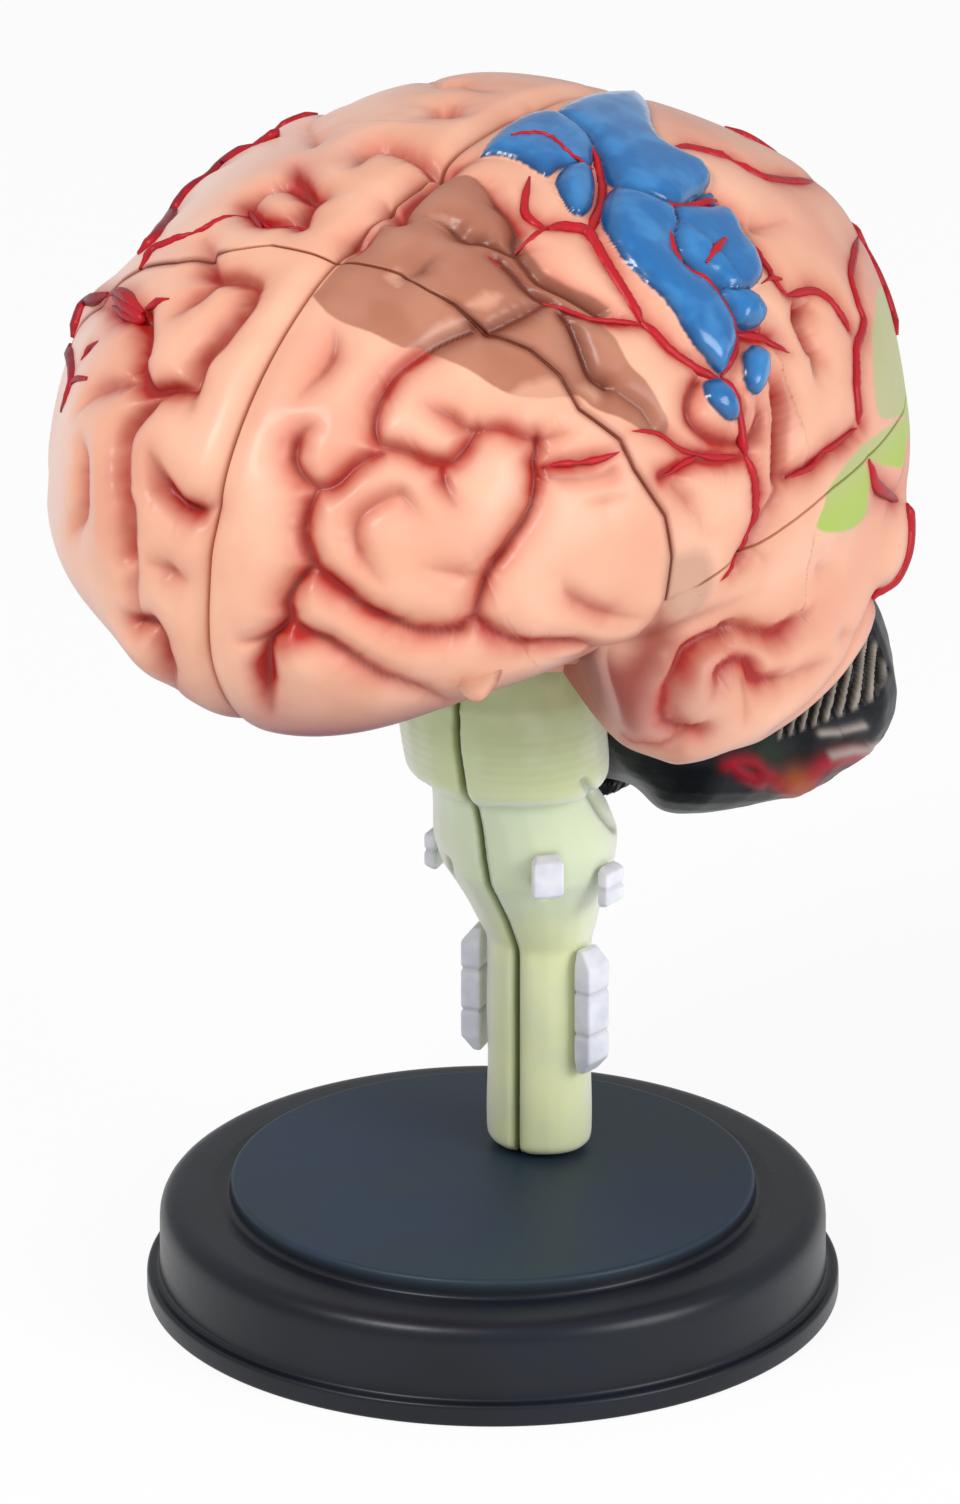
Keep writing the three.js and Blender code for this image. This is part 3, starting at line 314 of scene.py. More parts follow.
# Painted areas of the left half, each a closed line of points
AREAS = {
    "brown": [
        [(313, 300), (320, 292), (333, 276), (345, 262), (357, 248), (375, 233), (388, 222), (398, 222),
            (412, 200), (430, 184), (455, 179), (475, 182), (490, 194), (505, 210), (517, 232),
            (530, 258), (547, 278), (572, 292), (598, 304), (612, 318), (600, 324), (612, 345),
            (626, 372), (640, 385), (658, 412), (666, 438), (648, 440), (634, 432), (618, 424),
            (600, 418), (588, 412), (574, 402), (545, 404), (520, 402), (500, 396), (470, 377),
            (440, 362), (420, 352), (402, 353), (375, 340), (350, 331), (330, 320)],
    ],
    "blue": [
        [(545, 122), (556, 114), (575, 105), (600, 99), (625, 98), (642, 104), (648, 118), (651, 135),
            (662, 150), (680, 159), (698, 168), (707, 182), (704, 195), (693, 204), (680, 214),
            (660, 210), (640, 205), (620, 195), (606, 180), (598, 163), (586, 150), (570, 138)],
        [(478, 161), (488, 149), (500, 137), (520, 124), (540, 119), (560, 121), (578, 131), (590, 146),
            (592, 164), (584, 176), (562, 174), (548, 184), (540, 183), (525, 173), (505, 164),
            (488, 162)],
        [(557, 180), (568, 170), (588, 172), (594, 190), (592, 208), (582, 221), (568, 219), (558, 205),
            (552, 192)],
        [(604, 240), (601, 222), (604, 200), (614, 190), (628, 197), (648, 204), (670, 212), (678, 224),
            (672, 240), (672, 256), (684, 272), (704, 286), (722, 304), (733, 326), (737, 345),
            (732, 364), (720, 380), (705, 366), (688, 349), (676, 332), (664, 312), (650, 298),
            (634, 282), (618, 262)],
        [(662, 214), (680, 208), (700, 210), (716, 208), (734, 222), (747, 242), (756, 262), (758, 280),
            (746, 294), (730, 300), (716, 293), (700, 282), (684, 270), (670, 252), (668, 232)],
        [(716, 290), (734, 292), (752, 300), (762, 316), (758, 330), (744, 334), (734, 328), (722, 310)],
        [(704, 386), (717, 382), (732, 390), (738, 408), (734, 424), (722, 425), (710, 414), (703, 400)],
        [(740, 358), (750, 349), (762, 354), (767, 370), (762, 388), (754, 400), (744, 394), (738, 376)],
        [(684, 212), (692, 202), (704, 194), (716, 196), (720, 206), (706, 214)],
    ],
    "green": [
        [(874, 300), (880, 284), (895, 298), (905, 340), (909, 404), (906, 412), (893, 418), (878, 419),
            (872, 395), (871, 350)],
        [(817, 514), (812, 528), (826, 533), (846, 530), (862, 516), (866, 495), (868, 478), (862, 460),
            (874, 462), (890, 466), (898, 440), (902, 416), (882, 430), (862, 446), (840, 470),
            (826, 490)],
    ],
    # Painted highlights on the brown area
    "highlight_and_wear": [
        [(418, 350), (430, 333), (452, 322), (462, 330), (450, 345), (430, 356)],
        [(424, 223), (440, 219), (456, 226), (452, 233), (436, 229)],
        [(466, 313), (484, 300), (500, 305), (486, 318)],
        [(510, 402), (520, 392), (546, 385), (562, 394), (562, 406), (532, 408)],
        [(386, 284), (396, 276), (405, 284), (398, 293)],
        [(578, 395), (590, 385), (604, 396), (592, 408)],
    ],
    "grey": [[(664, 560), (700, 556), (708, 585), (692, 612), (664, 612)]],
    "shadow": [
        [(566, 690), (585, 664), (620, 648), (640, 632), (662, 612), (676, 640), (668, 660), (650, 690),
            (636, 735), (600, 742), (580, 735)],
    ],
    "red": [
        [(238, 205), (250, 206), (266, 216), (280, 224), (268, 232), (254, 228), (246, 219)],
        [(288, 180), (296, 170), (304, 186), (308, 198), (298, 200)],
        [(92, 302), (104, 288), (122, 290), (142, 292), (145, 312), (142, 324), (126, 322), (108, 312)],
        [(255, 668), (264, 660), (268, 680), (272, 702), (262, 696)],
        [(272, 650), (290, 636), (304, 642), (300, 654), (284, 660)],
        [(660, 478), (676, 462), (700, 454), (726, 458), (744, 456), (746, 466), (724, 468), (700, 468),
            (682, 478)],
        [(736, 336), (752, 330), (770, 338), (764, 348), (746, 350)],
        [(686, 665), (694, 652), (700, 656), (694, 672), (686, 682)],
        [(742, 668), (754, 668), (764, 680), (756, 688), (746, 682)],
    ],
}

# Arteries: the radius's share at the start and at the end, and the points that each passes
ARTERIES = [
    (0.7, 1.3, [(528, 182), (524, 200), (525, 215), (538, 227), (548, 230)]),
    (1.6, 1.5, [(548, 230), (565, 229), (588, 234), (600, 255), (615, 280), (630, 305), (643, 325)]),
    (1.5, 1.0, [(643, 325), (655, 338), (675, 358), (695, 371), (712, 380), (724, 384)]),
    (0.8, 0.4, [(546, 231), (530, 243), (514, 252)]),
    (0.8, 1.6, [(588, 152), (598, 166), (604, 188), (601, 208), (594, 222), (590, 234)]),
    (0.5, 0.4, [(508, 152), (530, 150), (548, 155), (560, 165), (575, 172), (590, 178)]),
    (0.3, 0.7, [(485, 258), (505, 268), (520, 285), (535, 298), (550, 305), (565, 312), (590, 322),
        (630, 326), (643, 328)]),
    (0.5, 0.3, [(550, 304), (530, 315), (508, 328)]),
    (0.8, 1.0, [(663, 240), (670, 258), (685, 272), (700, 280), (712, 290), (722, 308), (732, 325),
        (737, 336), (734, 352), (728, 365), (722, 380)]),
    (1.0, 1.4, [(722, 380), (732, 394), (740, 412), (745, 440), (748, 460)]),
    (1.4, 1.3, [(748, 460), (756, 485), (757, 514), (752, 535)]),
    (1.3, 0.4, [(752, 535), (742, 556), (730, 574), (718, 584)]),
    (1.6, 0.5, [(737, 336), (752, 337), (765, 340), (780, 350), (790, 357)]),
    (0.4, 0.8, [(628, 437), (645, 437), (660, 440), (670, 447), (682, 455), (700, 460)]),
    (0.8, 1.0, [(700, 460), (720, 463), (742, 461)]),
    (1.1, 0.4, [(700, 462), (684, 470), (672, 478), (660, 483)]),
    (0.3, 1.1, [(541, 473), (560, 469), (580, 468)]),
    (1.1, 0.4, [(580, 468), (600, 464), (619, 456)]),
    (0.6, 1.2, [(660, 213), (680, 211), (700, 208), (716, 202)]),
    (1.2, 0.6, [(716, 202), (728, 210), (740, 226), (752, 246), (770, 273), (788, 297)]),
    (0.9, 1.2, [(788, 297), (810, 292), (825, 296), (840, 312), (852, 332)]),
    (0.9, 0.4, [(782, 281), (770, 281), (758, 288)]),
    (1.1, 0.7, [(713, 251), (708, 256), (702, 264), (698, 272)]),
    (0.6, 1.5, [(668, 151), (690, 147), (715, 151), (735, 158)]),
    (1.5, 0.8, [(735, 158), (750, 168), (765, 175), (790, 180), (820, 188)]),
    (0.9, 1.2, [(725, 125), (745, 138), (760, 145), (780, 153), (800, 165), (815, 178), (822, 195)]),
    (0.8, 1.2, [(822, 195), (838, 213), (854, 237), (867, 254), (879, 280), (889, 305), (896, 335)]),
    (1.0, 1.4, [(854, 238), (854, 260), (853, 280), (858, 300), (865, 320), (862, 337), (857, 350),
        (857, 400), (860, 425)]),
    (0.5, 0.9, [(788, 482), (800, 477), (814, 470), (824, 456)]),
    (0.9, 0.5, [(824, 456), (838, 448), (850, 438), (862, 428)]),
    (0.9, 1.5, [(864, 452), (870, 468), (875, 487), (884, 500)]),
    (1.5, 1.6, [(884, 500), (893, 508), (897, 525), (896, 548), (888, 574), (879, 602)]),
    (0.6, 1.5, [(56, 414), (66, 398), (72, 382), (70, 360), (71, 340)]),
    (1.5, 1.5, [(71, 340), (80, 322), (94, 306), (110, 298), (122, 296), (134, 304), (142, 316)]),
    (1.5, 1.0, [(116, 300), (128, 310), (138, 321), (128, 320), (112, 308)]),
    (1.4, 0.6, [(146, 312), (158, 307), (174, 304)]),
    (1.1, 0.9, [(140, 284), (147, 270), (158, 255), (176, 247), (196, 239)]),
    (0.9, 0.5, [(196, 239), (210, 233), (224, 222), (240, 212)]),
    (1.6, 1.2, [(142, 258), (158, 243), (168, 218), (190, 192), (206, 178), (223, 165), (255, 148)]),
    (1.2, 1.0, [(255, 148), (275, 136), (292, 121), (308, 118), (320, 119)]),
    (1.1, 0.3, [(242, 210), (252, 218), (264, 226), (272, 228)]),
    (0.7, 0.4, [(242, 210), (252, 199), (266, 190), (286, 184)]),
    (1.4, 0.4, [(241, 207), (250, 220), (262, 233)]),
    (0.6, 0.6, [(272, 226), (288, 224), (302, 227)]),
    (0.4, 0.3, [(302, 224), (305, 212), (314, 200)]),
    (1.2, 0.8, [(90, 382), (80, 382), (72, 386)]),
    (1.1, 0.7, [(100, 345), (90, 350), (80, 362)]),
]

# Raised red lines and pale dashes on the cerebellum, the comb's outline and the pitch of its teeth,
# and the coloured spots with their radius
CEREBELLUM_RED = [
    [(728, 764), (742, 760), (756, 761), (769, 771), (785, 777), (800, 777), (810, 768), (818, 760),
        (832, 752), (846, 746), (862, 742)],
    [(762, 772), (779, 779), (796, 783), (813, 783), (832, 778), (845, 770)],
    [(733, 762), (745, 772), (762, 778)],
]
# The pale dashes are small ridges painted pale as highlights
CEREBELLUM_DASHES = [
    [(822, 731), (838, 728)], [(842, 726), (857, 719)], [(862, 735), (874, 733)],
    [(830, 748), (846, 741), (862, 737)],
]
# The comb's teeth are painted pale as highlights, and its gaps dark as shade
CEREBELLUM_COMB = [(776, 742), (780, 716), (800, 694), (822, 680), (840, 668), (856, 650), (864, 628),
    (874, 622), (888, 668), (872, 694), (846, 712), (818, 726), (798, 734)]
COMB_PITCH = 10.5
CEREBELLUM_SPOTS = {"orange": ((798, 775), 13), "green": ((770, 749), 15)}

# Rises of the cerebellum's lower line: the height and width in millimetres, and the line
CEREBELLUM_RISES = [
    (1.0, 3.5, [(886, 740), (864, 782), (820, 806), (670, 820)]),
    (1.6, 4.5, [(884, 704), (876, 742), (850, 778), (824, 792)]),
    (-2.6, 3.0, [(590, 770), (606, 800), (628, 812)]),
]

# The small flap at the lower edge of the left frontal lobe: its outline and middle, where it hangs,
# the crack beside it, and for each layer the share of the outline and the height in millimetres
FLAP = [(462, 677), (457, 688), (461, 700), (474, 710), (484, 707), (497, 692), (503, 675), (490, 670)]
FLAP_MIDDLE = (482, 688)
FLAP_ROOT = [(482, 680), (484, 684)]
FLAP_CRACK = [(500, 667), (498, 684), (485, 704)]
FLAP_LAYERS = [
    (0.0, -0.3), (0.8, -0.3), (1.0, 0.1), (0.96, 0.5), (0.85, 0.8), (0.5, 1.0), (0.0, 1.05),
]

# Dark strokes in the brain stem's surface: grooves painted dark as shade
STEM_STROKES = [
    [(582, 780), (592, 794), (603, 812), (616, 828)], [(426, 758), (434, 771), (442, 782)],
    [(536, 882), (541, 892), (548, 896)],
]

# Cuts across each kind of nerve piece
NERVE_CUTS = {"root_strip": 2, "side": 1, "front": 0}

# Inner pieces: the name, the slot, and the plastic's colour with its darker shade
CORE_COLOURS = [
    ("corpus_callosum", "callosum", (236, 226, 204), (214, 200, 172)),
    ("thalamus", "thalamus", (214, 150, 112), (186, 118, 86)),
    ("lateral_ventricle", "ventricle", (96, 148, 200), (62, 110, 168)),
    ("caudate_nucleus", "caudate", (206, 176, 96), (176, 142, 66)),
    ("hippocampus", "hippocampus", (188, 120, 150), (156, 90, 122)),
]

# Moulded pieces: the spacing of the points in millimetres, and the rounds that round them off
MOULDING = {"cerebellum": (0.32, 8), "stem": (0.35, 26), "nerve": (0.16, 20), "core": (0.4, 6)}

# How far from an area's border its paint is told apart, in millimetres
PAINT_REACH = 4.0


# Vector helpers

TINY = 1e-12


def unit(vectors):
    vectors = np.asarray(vectors, float)
    return vectors / np.linalg.norm(vectors, axis=-1, keepdims=True)


def direction(turn, lift):
    """Unit vector at a turn from the front towards the left, and a lift, both in degrees."""
    a, b = math.radians(turn), math.radians(lift)
    return np.array([math.sin(a) * math.cos(b), -math.cos(a) * math.cos(b), math.sin(b)])


def view_axes(turn, tilt):
    """Unit vectors to the right, towards the eye and up, for a view's turn and tilt in degrees."""
    a = math.radians(turn)
    right = np.array([math.cos(a), math.sin(a), 0])
    towards = direction(turn, tilt)
    return right, towards, np.cross(towards, right)


def blend(low, high, share):
    return low + (high - low) * share


def smooth_step(values, low, high):
    """0 below low, 1 above high, and smooth between them."""
    share = np.clip((values - low) / (high - low), 0, 1)
    return share * share * (3 - 2 * share)


def soft_spot(distance, width):
    """1 at a distance of 0, fading to a third at the width."""
    return np.exp(-((distance / width) ** 2))


def nearest_on_edge(points, a, b):
    """How far from a to b each point's nearest place lies, as a share, and its distance."""
    edge = b - a
    t = np.clip(((points - a) @ edge) / max(edge @ edge, TINY), 0, 1)
    return t, np.linalg.norm(points - (a + t[:, None] * edge), axis=1)


def segment_distance(points, line):
    """Distance of each point to a line through the given places."""
    least = np.full(len(points), np.inf)
    for a, b in zip(line, line[1:]):
        least = np.minimum(least, nearest_on_edge(points, a, b)[1])
    return least


def smooth_line(points, spacing):
    """Even points on a smooth curve through the given ones."""
    points = np.asarray(points, float)
    padded = np.vstack([2 * points[0] - points[1], points, 2 * points[-1] - points[-2]])
    run = []
    for before, start, end, after in zip(padded, padded[1:], padded[2:], padded[3:]):
        count = max(2, int(np.linalg.norm(end - start) / spacing))
        t = np.linspace(0, 1, count, endpoint=False)[:, None]
        run.append(0.5 * (
            2 * start + (end - before) * t + (2 * before - 5 * start + 4 * end - after) * t**2
            + (3 * start - before - 3 * end + after) * t**3
        ))
    return np.vstack([*run, points[-1:]])


# The brain's outline in unit coordinates, where each half size is 1. Negative is inside.

FRONT_SHARE = 1.09
TEMPORAL_DEPTH_SHARE = 0.85
FLOOR_SHARE = 0.635
CAVITY_SHARE = 0.42
STEM_TOP_SHARE = 0.23
TEMPORAL_CENTRE = np.array([0.65, 0.08, -0.45])
TEMPORAL_RADII = np.array([0.34, 0.5, TEMPORAL_DEPTH_SHARE - 0.45])
TEMPORAL_BLEND = 0.1

# Powers of the outline's formula: a higher one makes it fuller. Those of the front come first.
WIDTH_POWER = 2.1
LENGTH_POWERS = (2.35, 2.06)
HEIGHT_POWERS = (2.26, 2.06)
FRONT_FLOOR_POWER = 2.5

SEARCH_STEP = 0.03
SEARCH_ROUNDS = 14


def cerebrum(points):
    """The outline without the temporal lobes' swelling."""
    px, py, pz = np.moveaxis(points, -1, 0)
    front = py < 0
    back = 1 / (1 + np.exp(-np.clip((py + 0.12) / 0.06, -60, 60)))
    half_width = 1 + np.where(front, 0.05, 0.03) * np.clip(py, -1, 1)
    below = blend(0.58 - 0.4 * np.minimum(px * px, 0.5), 0.72, back)
    x = np.abs(px) / half_width
    y = np.abs(py) / np.where(front, FRONT_SHARE, 1)
    z = np.abs(pz) / np.where(pz > 0, 1, below)
    front_height_power = np.where(pz > 0, HEIGHT_POWERS[0], FRONT_FLOOR_POWER)
    total = (x**WIDTH_POWER + y ** np.where(front, *LENGTH_POWERS)
             + z ** np.where(front, front_height_power, HEIGHT_POWERS[1]))
    return 0.7 * (total ** (1 / WIDTH_POWER) - 1)


def cortex(points):
    """The whole outline of both halves, with the temporal lobes."""
    centred = np.stack([np.abs(points[..., 0]), points[..., 1], points[..., 2]], -1)
    swelling = np.linalg.norm((centred - TEMPORAL_CENTRE) / TEMPORAL_RADII, axis=-1)
    a, b = cerebrum(points), TEMPORAL_RADII[2] * (swelling - 1)
    share = np.clip(0.5 + 0.5 * (b - a) / TEMPORAL_BLEND, 0, 1)
    return b * (1 - share) + a * share - TEMPORAL_BLEND * share * (1 - share)


def outline_radius(outline, ways):
    """Distance along unit directions to the outermost place that is inside the outline."""
    outer = np.full(len(ways), 2.0)
    open_ways = np.arange(len(ways))
    while len(open_ways):
        probe = outer[open_ways] - SEARCH_STEP
        still_out = (outline(ways[open_ways] * probe[:, None]) > 0) & (probe > SEARCH_STEP)
        outer[open_ways[still_out]] -= SEARCH_STEP
        open_ways = open_ways[still_out]
    inner = outer - SEARCH_STEP
    for _ in range(SEARCH_ROUNDS):
        middle = (inner + outer) / 2
        out = outline(ways * middle[:, None]) > 0
        outer = np.where(out, middle, outer)
        inner = np.where(out, inner, middle)
    return inner


# Folds, in millimetres where they aren't shares

JOIN_REACH = 2.2
END_SHARE = 0.25
FADE_POINTS = 4
PIECE_POINTS = 5
CREASE_WIDTH = 0.9
CREASE_SHARE = 0.48
HALO_WIDTH = 1.65
LINE_WIDTH = 0.4
PATTERN_WAVES = 7
PATTERN_SHARE = 0.85
GOLDEN_ANGLE = 2.39996
PHASE_STEP = 1.7
SEEN_FROM = (-0.05, 0.12)
AREA_WRAP = 22
LUMP_REACH = 3.4
LUMP_HEIGHT = 1.5


class Brain:
    """The brain's shape from its sizes, in millimetres from its centre."""

    def __init__(self, sizes):
        self.half_size = np.array([
            sizes.brain_width / 2,
            sizes.brain_length / (1 + FRONT_SHARE),
            sizes.brain_height / (1 + TEMPORAL_DEPTH_SHARE),
        ]) / MM
        stem_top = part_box("brainstem_left")[1].z / MM
        self.centre = np.array([
            0, (FRONT_SHARE - 1) * self.half_size[1] / 2,
            stem_top + STEM_TOP_SHARE * self.half_size[2],
        ])
        self.right, self.towards, self.up = view_axes(VIEW_TURN, VIEW_TILT)
        self.depth = sizes.groove_depth / MM
        self.rounding = sizes.fold_rounding / MM
        self.pitch = sizes.fold_pitch / MM
        self.step = sizes.mesh_step / MM
        self.fissure_reach = sizes.fissure_reach / MM
        self.fissure_depth = sizes.fissure_depth / MM
        self.strong_seam = self.surface(self.from_drawing(FRONTAL_SEAM[3:]))
        lines = [(depth, paint, self.on_surface(points)) for depth, paint, points in GROOVES]
        self.pieces = [piece for i in range(len(lines)) for piece in self.line_pieces(lines, i)]
        self.rises = [
            (self.surface(self.from_drawing([pixel]))[0], height, width)
            for pixel, height, width in RISES
        ]
        self.areas = {
            name: [self.area(points) for points in outlines] for name, outlines in AREAS.items()
        }

    def from_drawing(self, pixels):
        """Directions that points of the drawing show."""
        pixels = np.asarray(pixels, float)
        start = ((pixels[:, :1] - DRAWING_CENTRE[0]) * self.right
                 + (DRAWING_CENTRE[1] - pixels[:, 1:]) * self.up)
        least = np.full(len(pixels), np.inf)
        best = start.copy()
        done = np.zeros(len(pixels), bool)
        for depth in RAY_DEPTHS:
            place = (start + depth * self.towards) / DRAWING_HALF_SIZE
            value = cortex(place)
            better = (value < least) & ~done
            best[better] = place[better]
            least = np.where(better, value, least)
            done |= value <= 0
        return unit(best)

    def to_drawing(self, points):
        """The drawing's pixels where points of the left half show."""
        return DRAWING_CENTRE + np.stack([points @ self.right, -points @ self.up], -1) / PIXEL

    def surface(self, ways):
        """The places on the brain's outline in the given directions."""
        return ways * outline_radius(cortex, ways)[:, None] * self.half_size

    def on_surface(self, pixels, spacing=7):
        """The places on the outline that a smooth line of the drawing passes."""
        return self.surface(self.from_drawing(smooth_line(pixels, spacing)))

    def line_pieces(self, lines, index):
        """Short stretches of a groove with their strengths, which fade where no other one joins."""
        depth, paint, line = lines[index]
        others = np.vstack([other for i, (_, _, other) in enumerate(lines) if i != index])
        count = len(line)
        fade = np.ones(count)
        along = np.arange(count)
        for end, from_end in ((line[0], along), (line[-1], along[::-1])):
            if np.linalg.norm(others - end, axis=1).min() >= JOIN_REACH:
                fade = np.minimum(fade, END_SHARE + (1 - END_SHARE) * from_end / FADE_POINTS)
        pieces = []
        for start in range(0, count - 1, PIECE_POINTS):
            part = slice(start, min(start + PIECE_POINTS + 1, count))
            middle = line[part].mean(0)
            radius = np.linalg.norm(line[part] - middle, axis=1).max() + self.rounding
            pieces.append((line[part], depth * fade[part], paint * fade[part], middle, radius))
        return pieces

    def area(self, pixels):
        """A painted area: a flat frame at its middle, and its border in that frame."""
        closed = smooth_line([*pixels, pixels[0]], 8)
        border = self.surface(self.from_drawing(closed))
        middle = border.mean(0)
        out = unit(middle)
        across = unit(np.cross([0.0, 0.0, 1.0], out))
        upward = np.cross(out, across)
        axes = np.stack([across, upward], -1)
        return middle, out, axes, (border - middle) @ axes

    def facing(self, points):
        """How squarely the outline at each point faces the drawing's eye, from -1 to 1."""
        return unit(points / self.half_size / self.half_size) @ self.towards

    def drawn_folds(self, points):
        """Shares of the full depth, halo and dark line that the drawn grooves give each point."""
        shares = np.zeros((3, len(points)))
        for line, depth, paint, middle, radius in self.pieces:
            near = np.flatnonzero(np.linalg.norm(points - middle, axis=1) < radius)
            if not len(near):
                continue
            chosen = points[near]
            least = np.full(len(near), np.inf)
            along = np.zeros(len(near))
            for i, (a, b) in enumerate(zip(line, line[1:])):
                t, distance = nearest_on_edge(chosen, a, b)
                better = distance < least
                least = np.where(better, distance, least)
                along = np.where(better, i + t, along)
            places = np.arange(len(line))
            depth_here, paint_here = (np.interp(along, places, v) for v in (depth, paint))
            found = (depth_here * self.fold(least), *(paint_here * self.paint_shares(least)))
            shares[:, near] = np.maximum(shares[:, near], found)
        return shares

    def fold(self, distance):
        """Share of the groove's depth at a distance: the side of a rounded fold and its crease."""
        side = 1 - np.clip(distance / self.rounding, 0, 1)
        crease = np.exp(-((distance / CREASE_WIDTH) ** 1.8))
        return (1 - CREASE_SHARE) * side**2 + CREASE_SHARE * crease

    def paint_shares(self, distance):
        """Shares of the sprayed halo and of the dark line at a distance from a groove."""
        return np.stack([np.exp(-((distance / HALO_WIDTH) ** 1.4)), soft_spot(distance, LINE_WIDTH)])

    def pattern_distance(self, points):
        """Distance to the grooves of a winding pattern, for the sides not in the drawing."""
        points = np.stack([np.abs(points[:, 0]), points[:, 1], points[:, 2]], -1)
        wave_number = math.pi / self.pitch
        value = np.zeros(len(points))
        slope = np.zeros_like(points)
        for i in range(PATTERN_WAVES):
            height = 1 - 2 * (i + 0.5) / PATTERN_WAVES
            ring = math.sqrt(1 - height * height)
            turn = GOLDEN_ANGLE * i
            wave = wave_number * np.array([math.cos(turn) * ring, math.sin(turn) * ring, height])
            phase = points @ wave + PHASE_STEP * i
            value += np.sin(phase)
            slope += np.cos(phase)[:, None] * wave
        return np.abs(value) / np.maximum(np.linalg.norm(slope, axis=1), wave_number / 4)

    def relief(self, points):
        """Depth of the folds in millimetres, and the shares of halo and dark line."""
        pattern = self.pattern_distance(points)
        shares = PATTERN_SHARE * np.stack([self.fold(pattern), *self.paint_shares(pattern)])
        for mirror in (-1, 1):
            twin = points * [mirror, 1, 1]
            seen = smooth_step(self.facing(twin), *SEEN_FROM)
            near = np.flatnonzero(seen > 0)
            if len(near):
                shares[:, near] = blend(shares[:, near], self.drawn_folds(twin[near]), seen[near])
        rise = np.zeros(len(points))
        for middle, height, width in self.rises:
            rise += height * soft_spot(np.linalg.norm(points - middle, axis=1), width)
        return self.depth * shares[0] - rise, shares[1], shares[2]

    def paint(self, points):
        """For each colour, how far inside its area each point lies, in millimetres."""
        masks = {}
        for name, areas in self.areas.items():
            inside = np.full(len(points), -PAINT_REACH)
            second = inside.copy()
            for middle, out, axes, border in areas:
                ahead = (points - middle) @ out > -AREA_WRAP
                flat = (points - middle) @ axes
                reach = np.abs(border).max(0) + PAINT_REACH
                near = np.flatnonzero(ahead & (np.abs(flat) < reach).all(1))
                if len(near):
                    found = depth_inside(flat[near], border)
                    second[near] = np.maximum(second[near], np.minimum(inside[near], found))
                    inside[near] = np.maximum(inside[near], found)
            masks[name] = np.clip(inside, -PAINT_REACH, PAINT_REACH)
            if name == "blue":
                lump = inside - np.maximum(second, 0)
                masks["lump"] = np.clip(lump, -PAINT_REACH, PAINT_REACH)
        return masks

    def swelling(self, lump):
        """Height in millimetres of the lumps of the blue area."""
        share = np.clip(lump, 0, LUMP_REACH) / LUMP_REACH
        return LUMP_HEIGHT * np.sqrt(np.clip(1 - (1 - share) ** 2, 0, 1))


def depth_inside(points, border):
    """Distance from each point of a plane to a closed line, positive inside it."""
    least = np.full(len(points), np.inf)
    within = np.zeros(len(points), bool)
    for a, b in zip(border, np.roll(border, -1, 0)):
        least = np.minimum(least, nearest_on_edge(points, a, b)[1])
        rise = b[1] - a[1]
        if abs(rise) > TINY:
            crosses = (a[1] > points[:, 1]) != (b[1] > points[:, 1])
            at = a[0] + (points[:, 1] - a[1]) / rise * (b[0] - a[0])
            within ^= crosses & (points[:, 0] < at)
    return np.where(within, least, -least)


# Meshes

def make_object(name, points, faces, body, nodes, slot, material, attributes=None):
    """A finished piece from points in millimetres, riding on a body and replacing CAD nodes."""
    mesh = bpy.data.meshes.new(name)
    mesh.from_pydata([tuple(p) for p in np.asarray(points) * MM], [], [tuple(f) for f in faces])
    set_attributes(mesh, attributes or {})
    mesh.shade_smooth()
    return finish_piece(name, mesh, body, nodes, material)


def set_attributes(mesh, attributes):
    """Gives a mesh's points named numbers that its finish reads."""
    for key, values in attributes.items():
        layer = mesh.attributes.new(key, "FLOAT", "POINT")
        layer.data.foreach_set("value", np.asarray(values, np.float32))


def finish_piece(name, mesh, body, nodes, material):
    """Puts a mesh in the scene as a piece, with its finish and what it is to the CAD."""
    mesh.name = name
    piece = bpy.data.objects.new(name, mesh)
    bpy.context.scene.collection.objects.link(piece)
    mesh.materials.clear()
    mesh.materials.append(material)
    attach(piece, body)
    if nodes:
        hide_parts(*nodes)
    return piece


def join_rings(inner, outer):
    """Triangles between two rings of a disc whose points are spread evenly round it."""
    faces = []
    i = j = 0
    while i < len(inner) or j < len(outer):
        a, b = inner[i % len(inner)], outer[j % len(outer)]
        next_inner, next_outer = (i + 1) / len(inner), (j + 1) / len(outer)
        if j >= len(outer) or (i < len(inner) and next_inner < next_outer):
            faces.append((a, b, inner[(i + 1) % len(inner)]))
            i += 1
        else:
            faces.append((a, b, outer[(j + 1) % len(outer)]))
            j += 1
    return [face for face in faces if len(set(face)) == 3]


def loft_faces(rings, count, closed_ends=True):
    """Faces of a body through rings of equally many points, listed ring by ring."""
    faces = []
    for level in range(rings - 1):
        for i in range(count):
            a, b = level * count + i, level * count + (i + 1) % count
            faces.append((a, b, b + count, a + count))
    if closed_ends:
        last = (rings - 1) * count
        faces.append(tuple(range(count - 1, -1, -1)))
        faces.append(tuple(range(last, last + count)))
    return faces


def rod(start, end, radius, sides=24, tip=0.4):
    """Points and faces of a peg with rounded tips."""
    start, end = np.asarray(start, float), np.asarray(end, float)
    axis = unit(end - start)
    across = unit(np.cross(axis, [0.3, 0.5, 0.8]))
    other = np.cross(axis, across)
    angles = np.linspace(0, 2 * math.pi, sides, endpoint=False)
    ring = np.outer(np.cos(angles), across) + np.outer(np.sin(angles), other)
    places = [(start, radius - tip), (start + 0.3 * tip * axis, radius - 0.3 * tip),
              (start + tip * axis, radius), (end - tip * axis, radius),
              (end - 0.3 * tip * axis, radius - 0.3 * tip), (end, radius - tip)]
    points = np.vstack([place + size * ring for place, size in places])
    return points, loft_faces(len(places), sides)


def joined(*parts):
    """Several bodies' points and faces as one mesh."""
    points, faces, start = [], [], 0
    for part_points, part_faces in parts:
        points.append(np.asarray(part_points))
        faces += [tuple(i + start for i in face) for face in part_faces]
        start += len(part_points)
    return np.vstack(points), faces


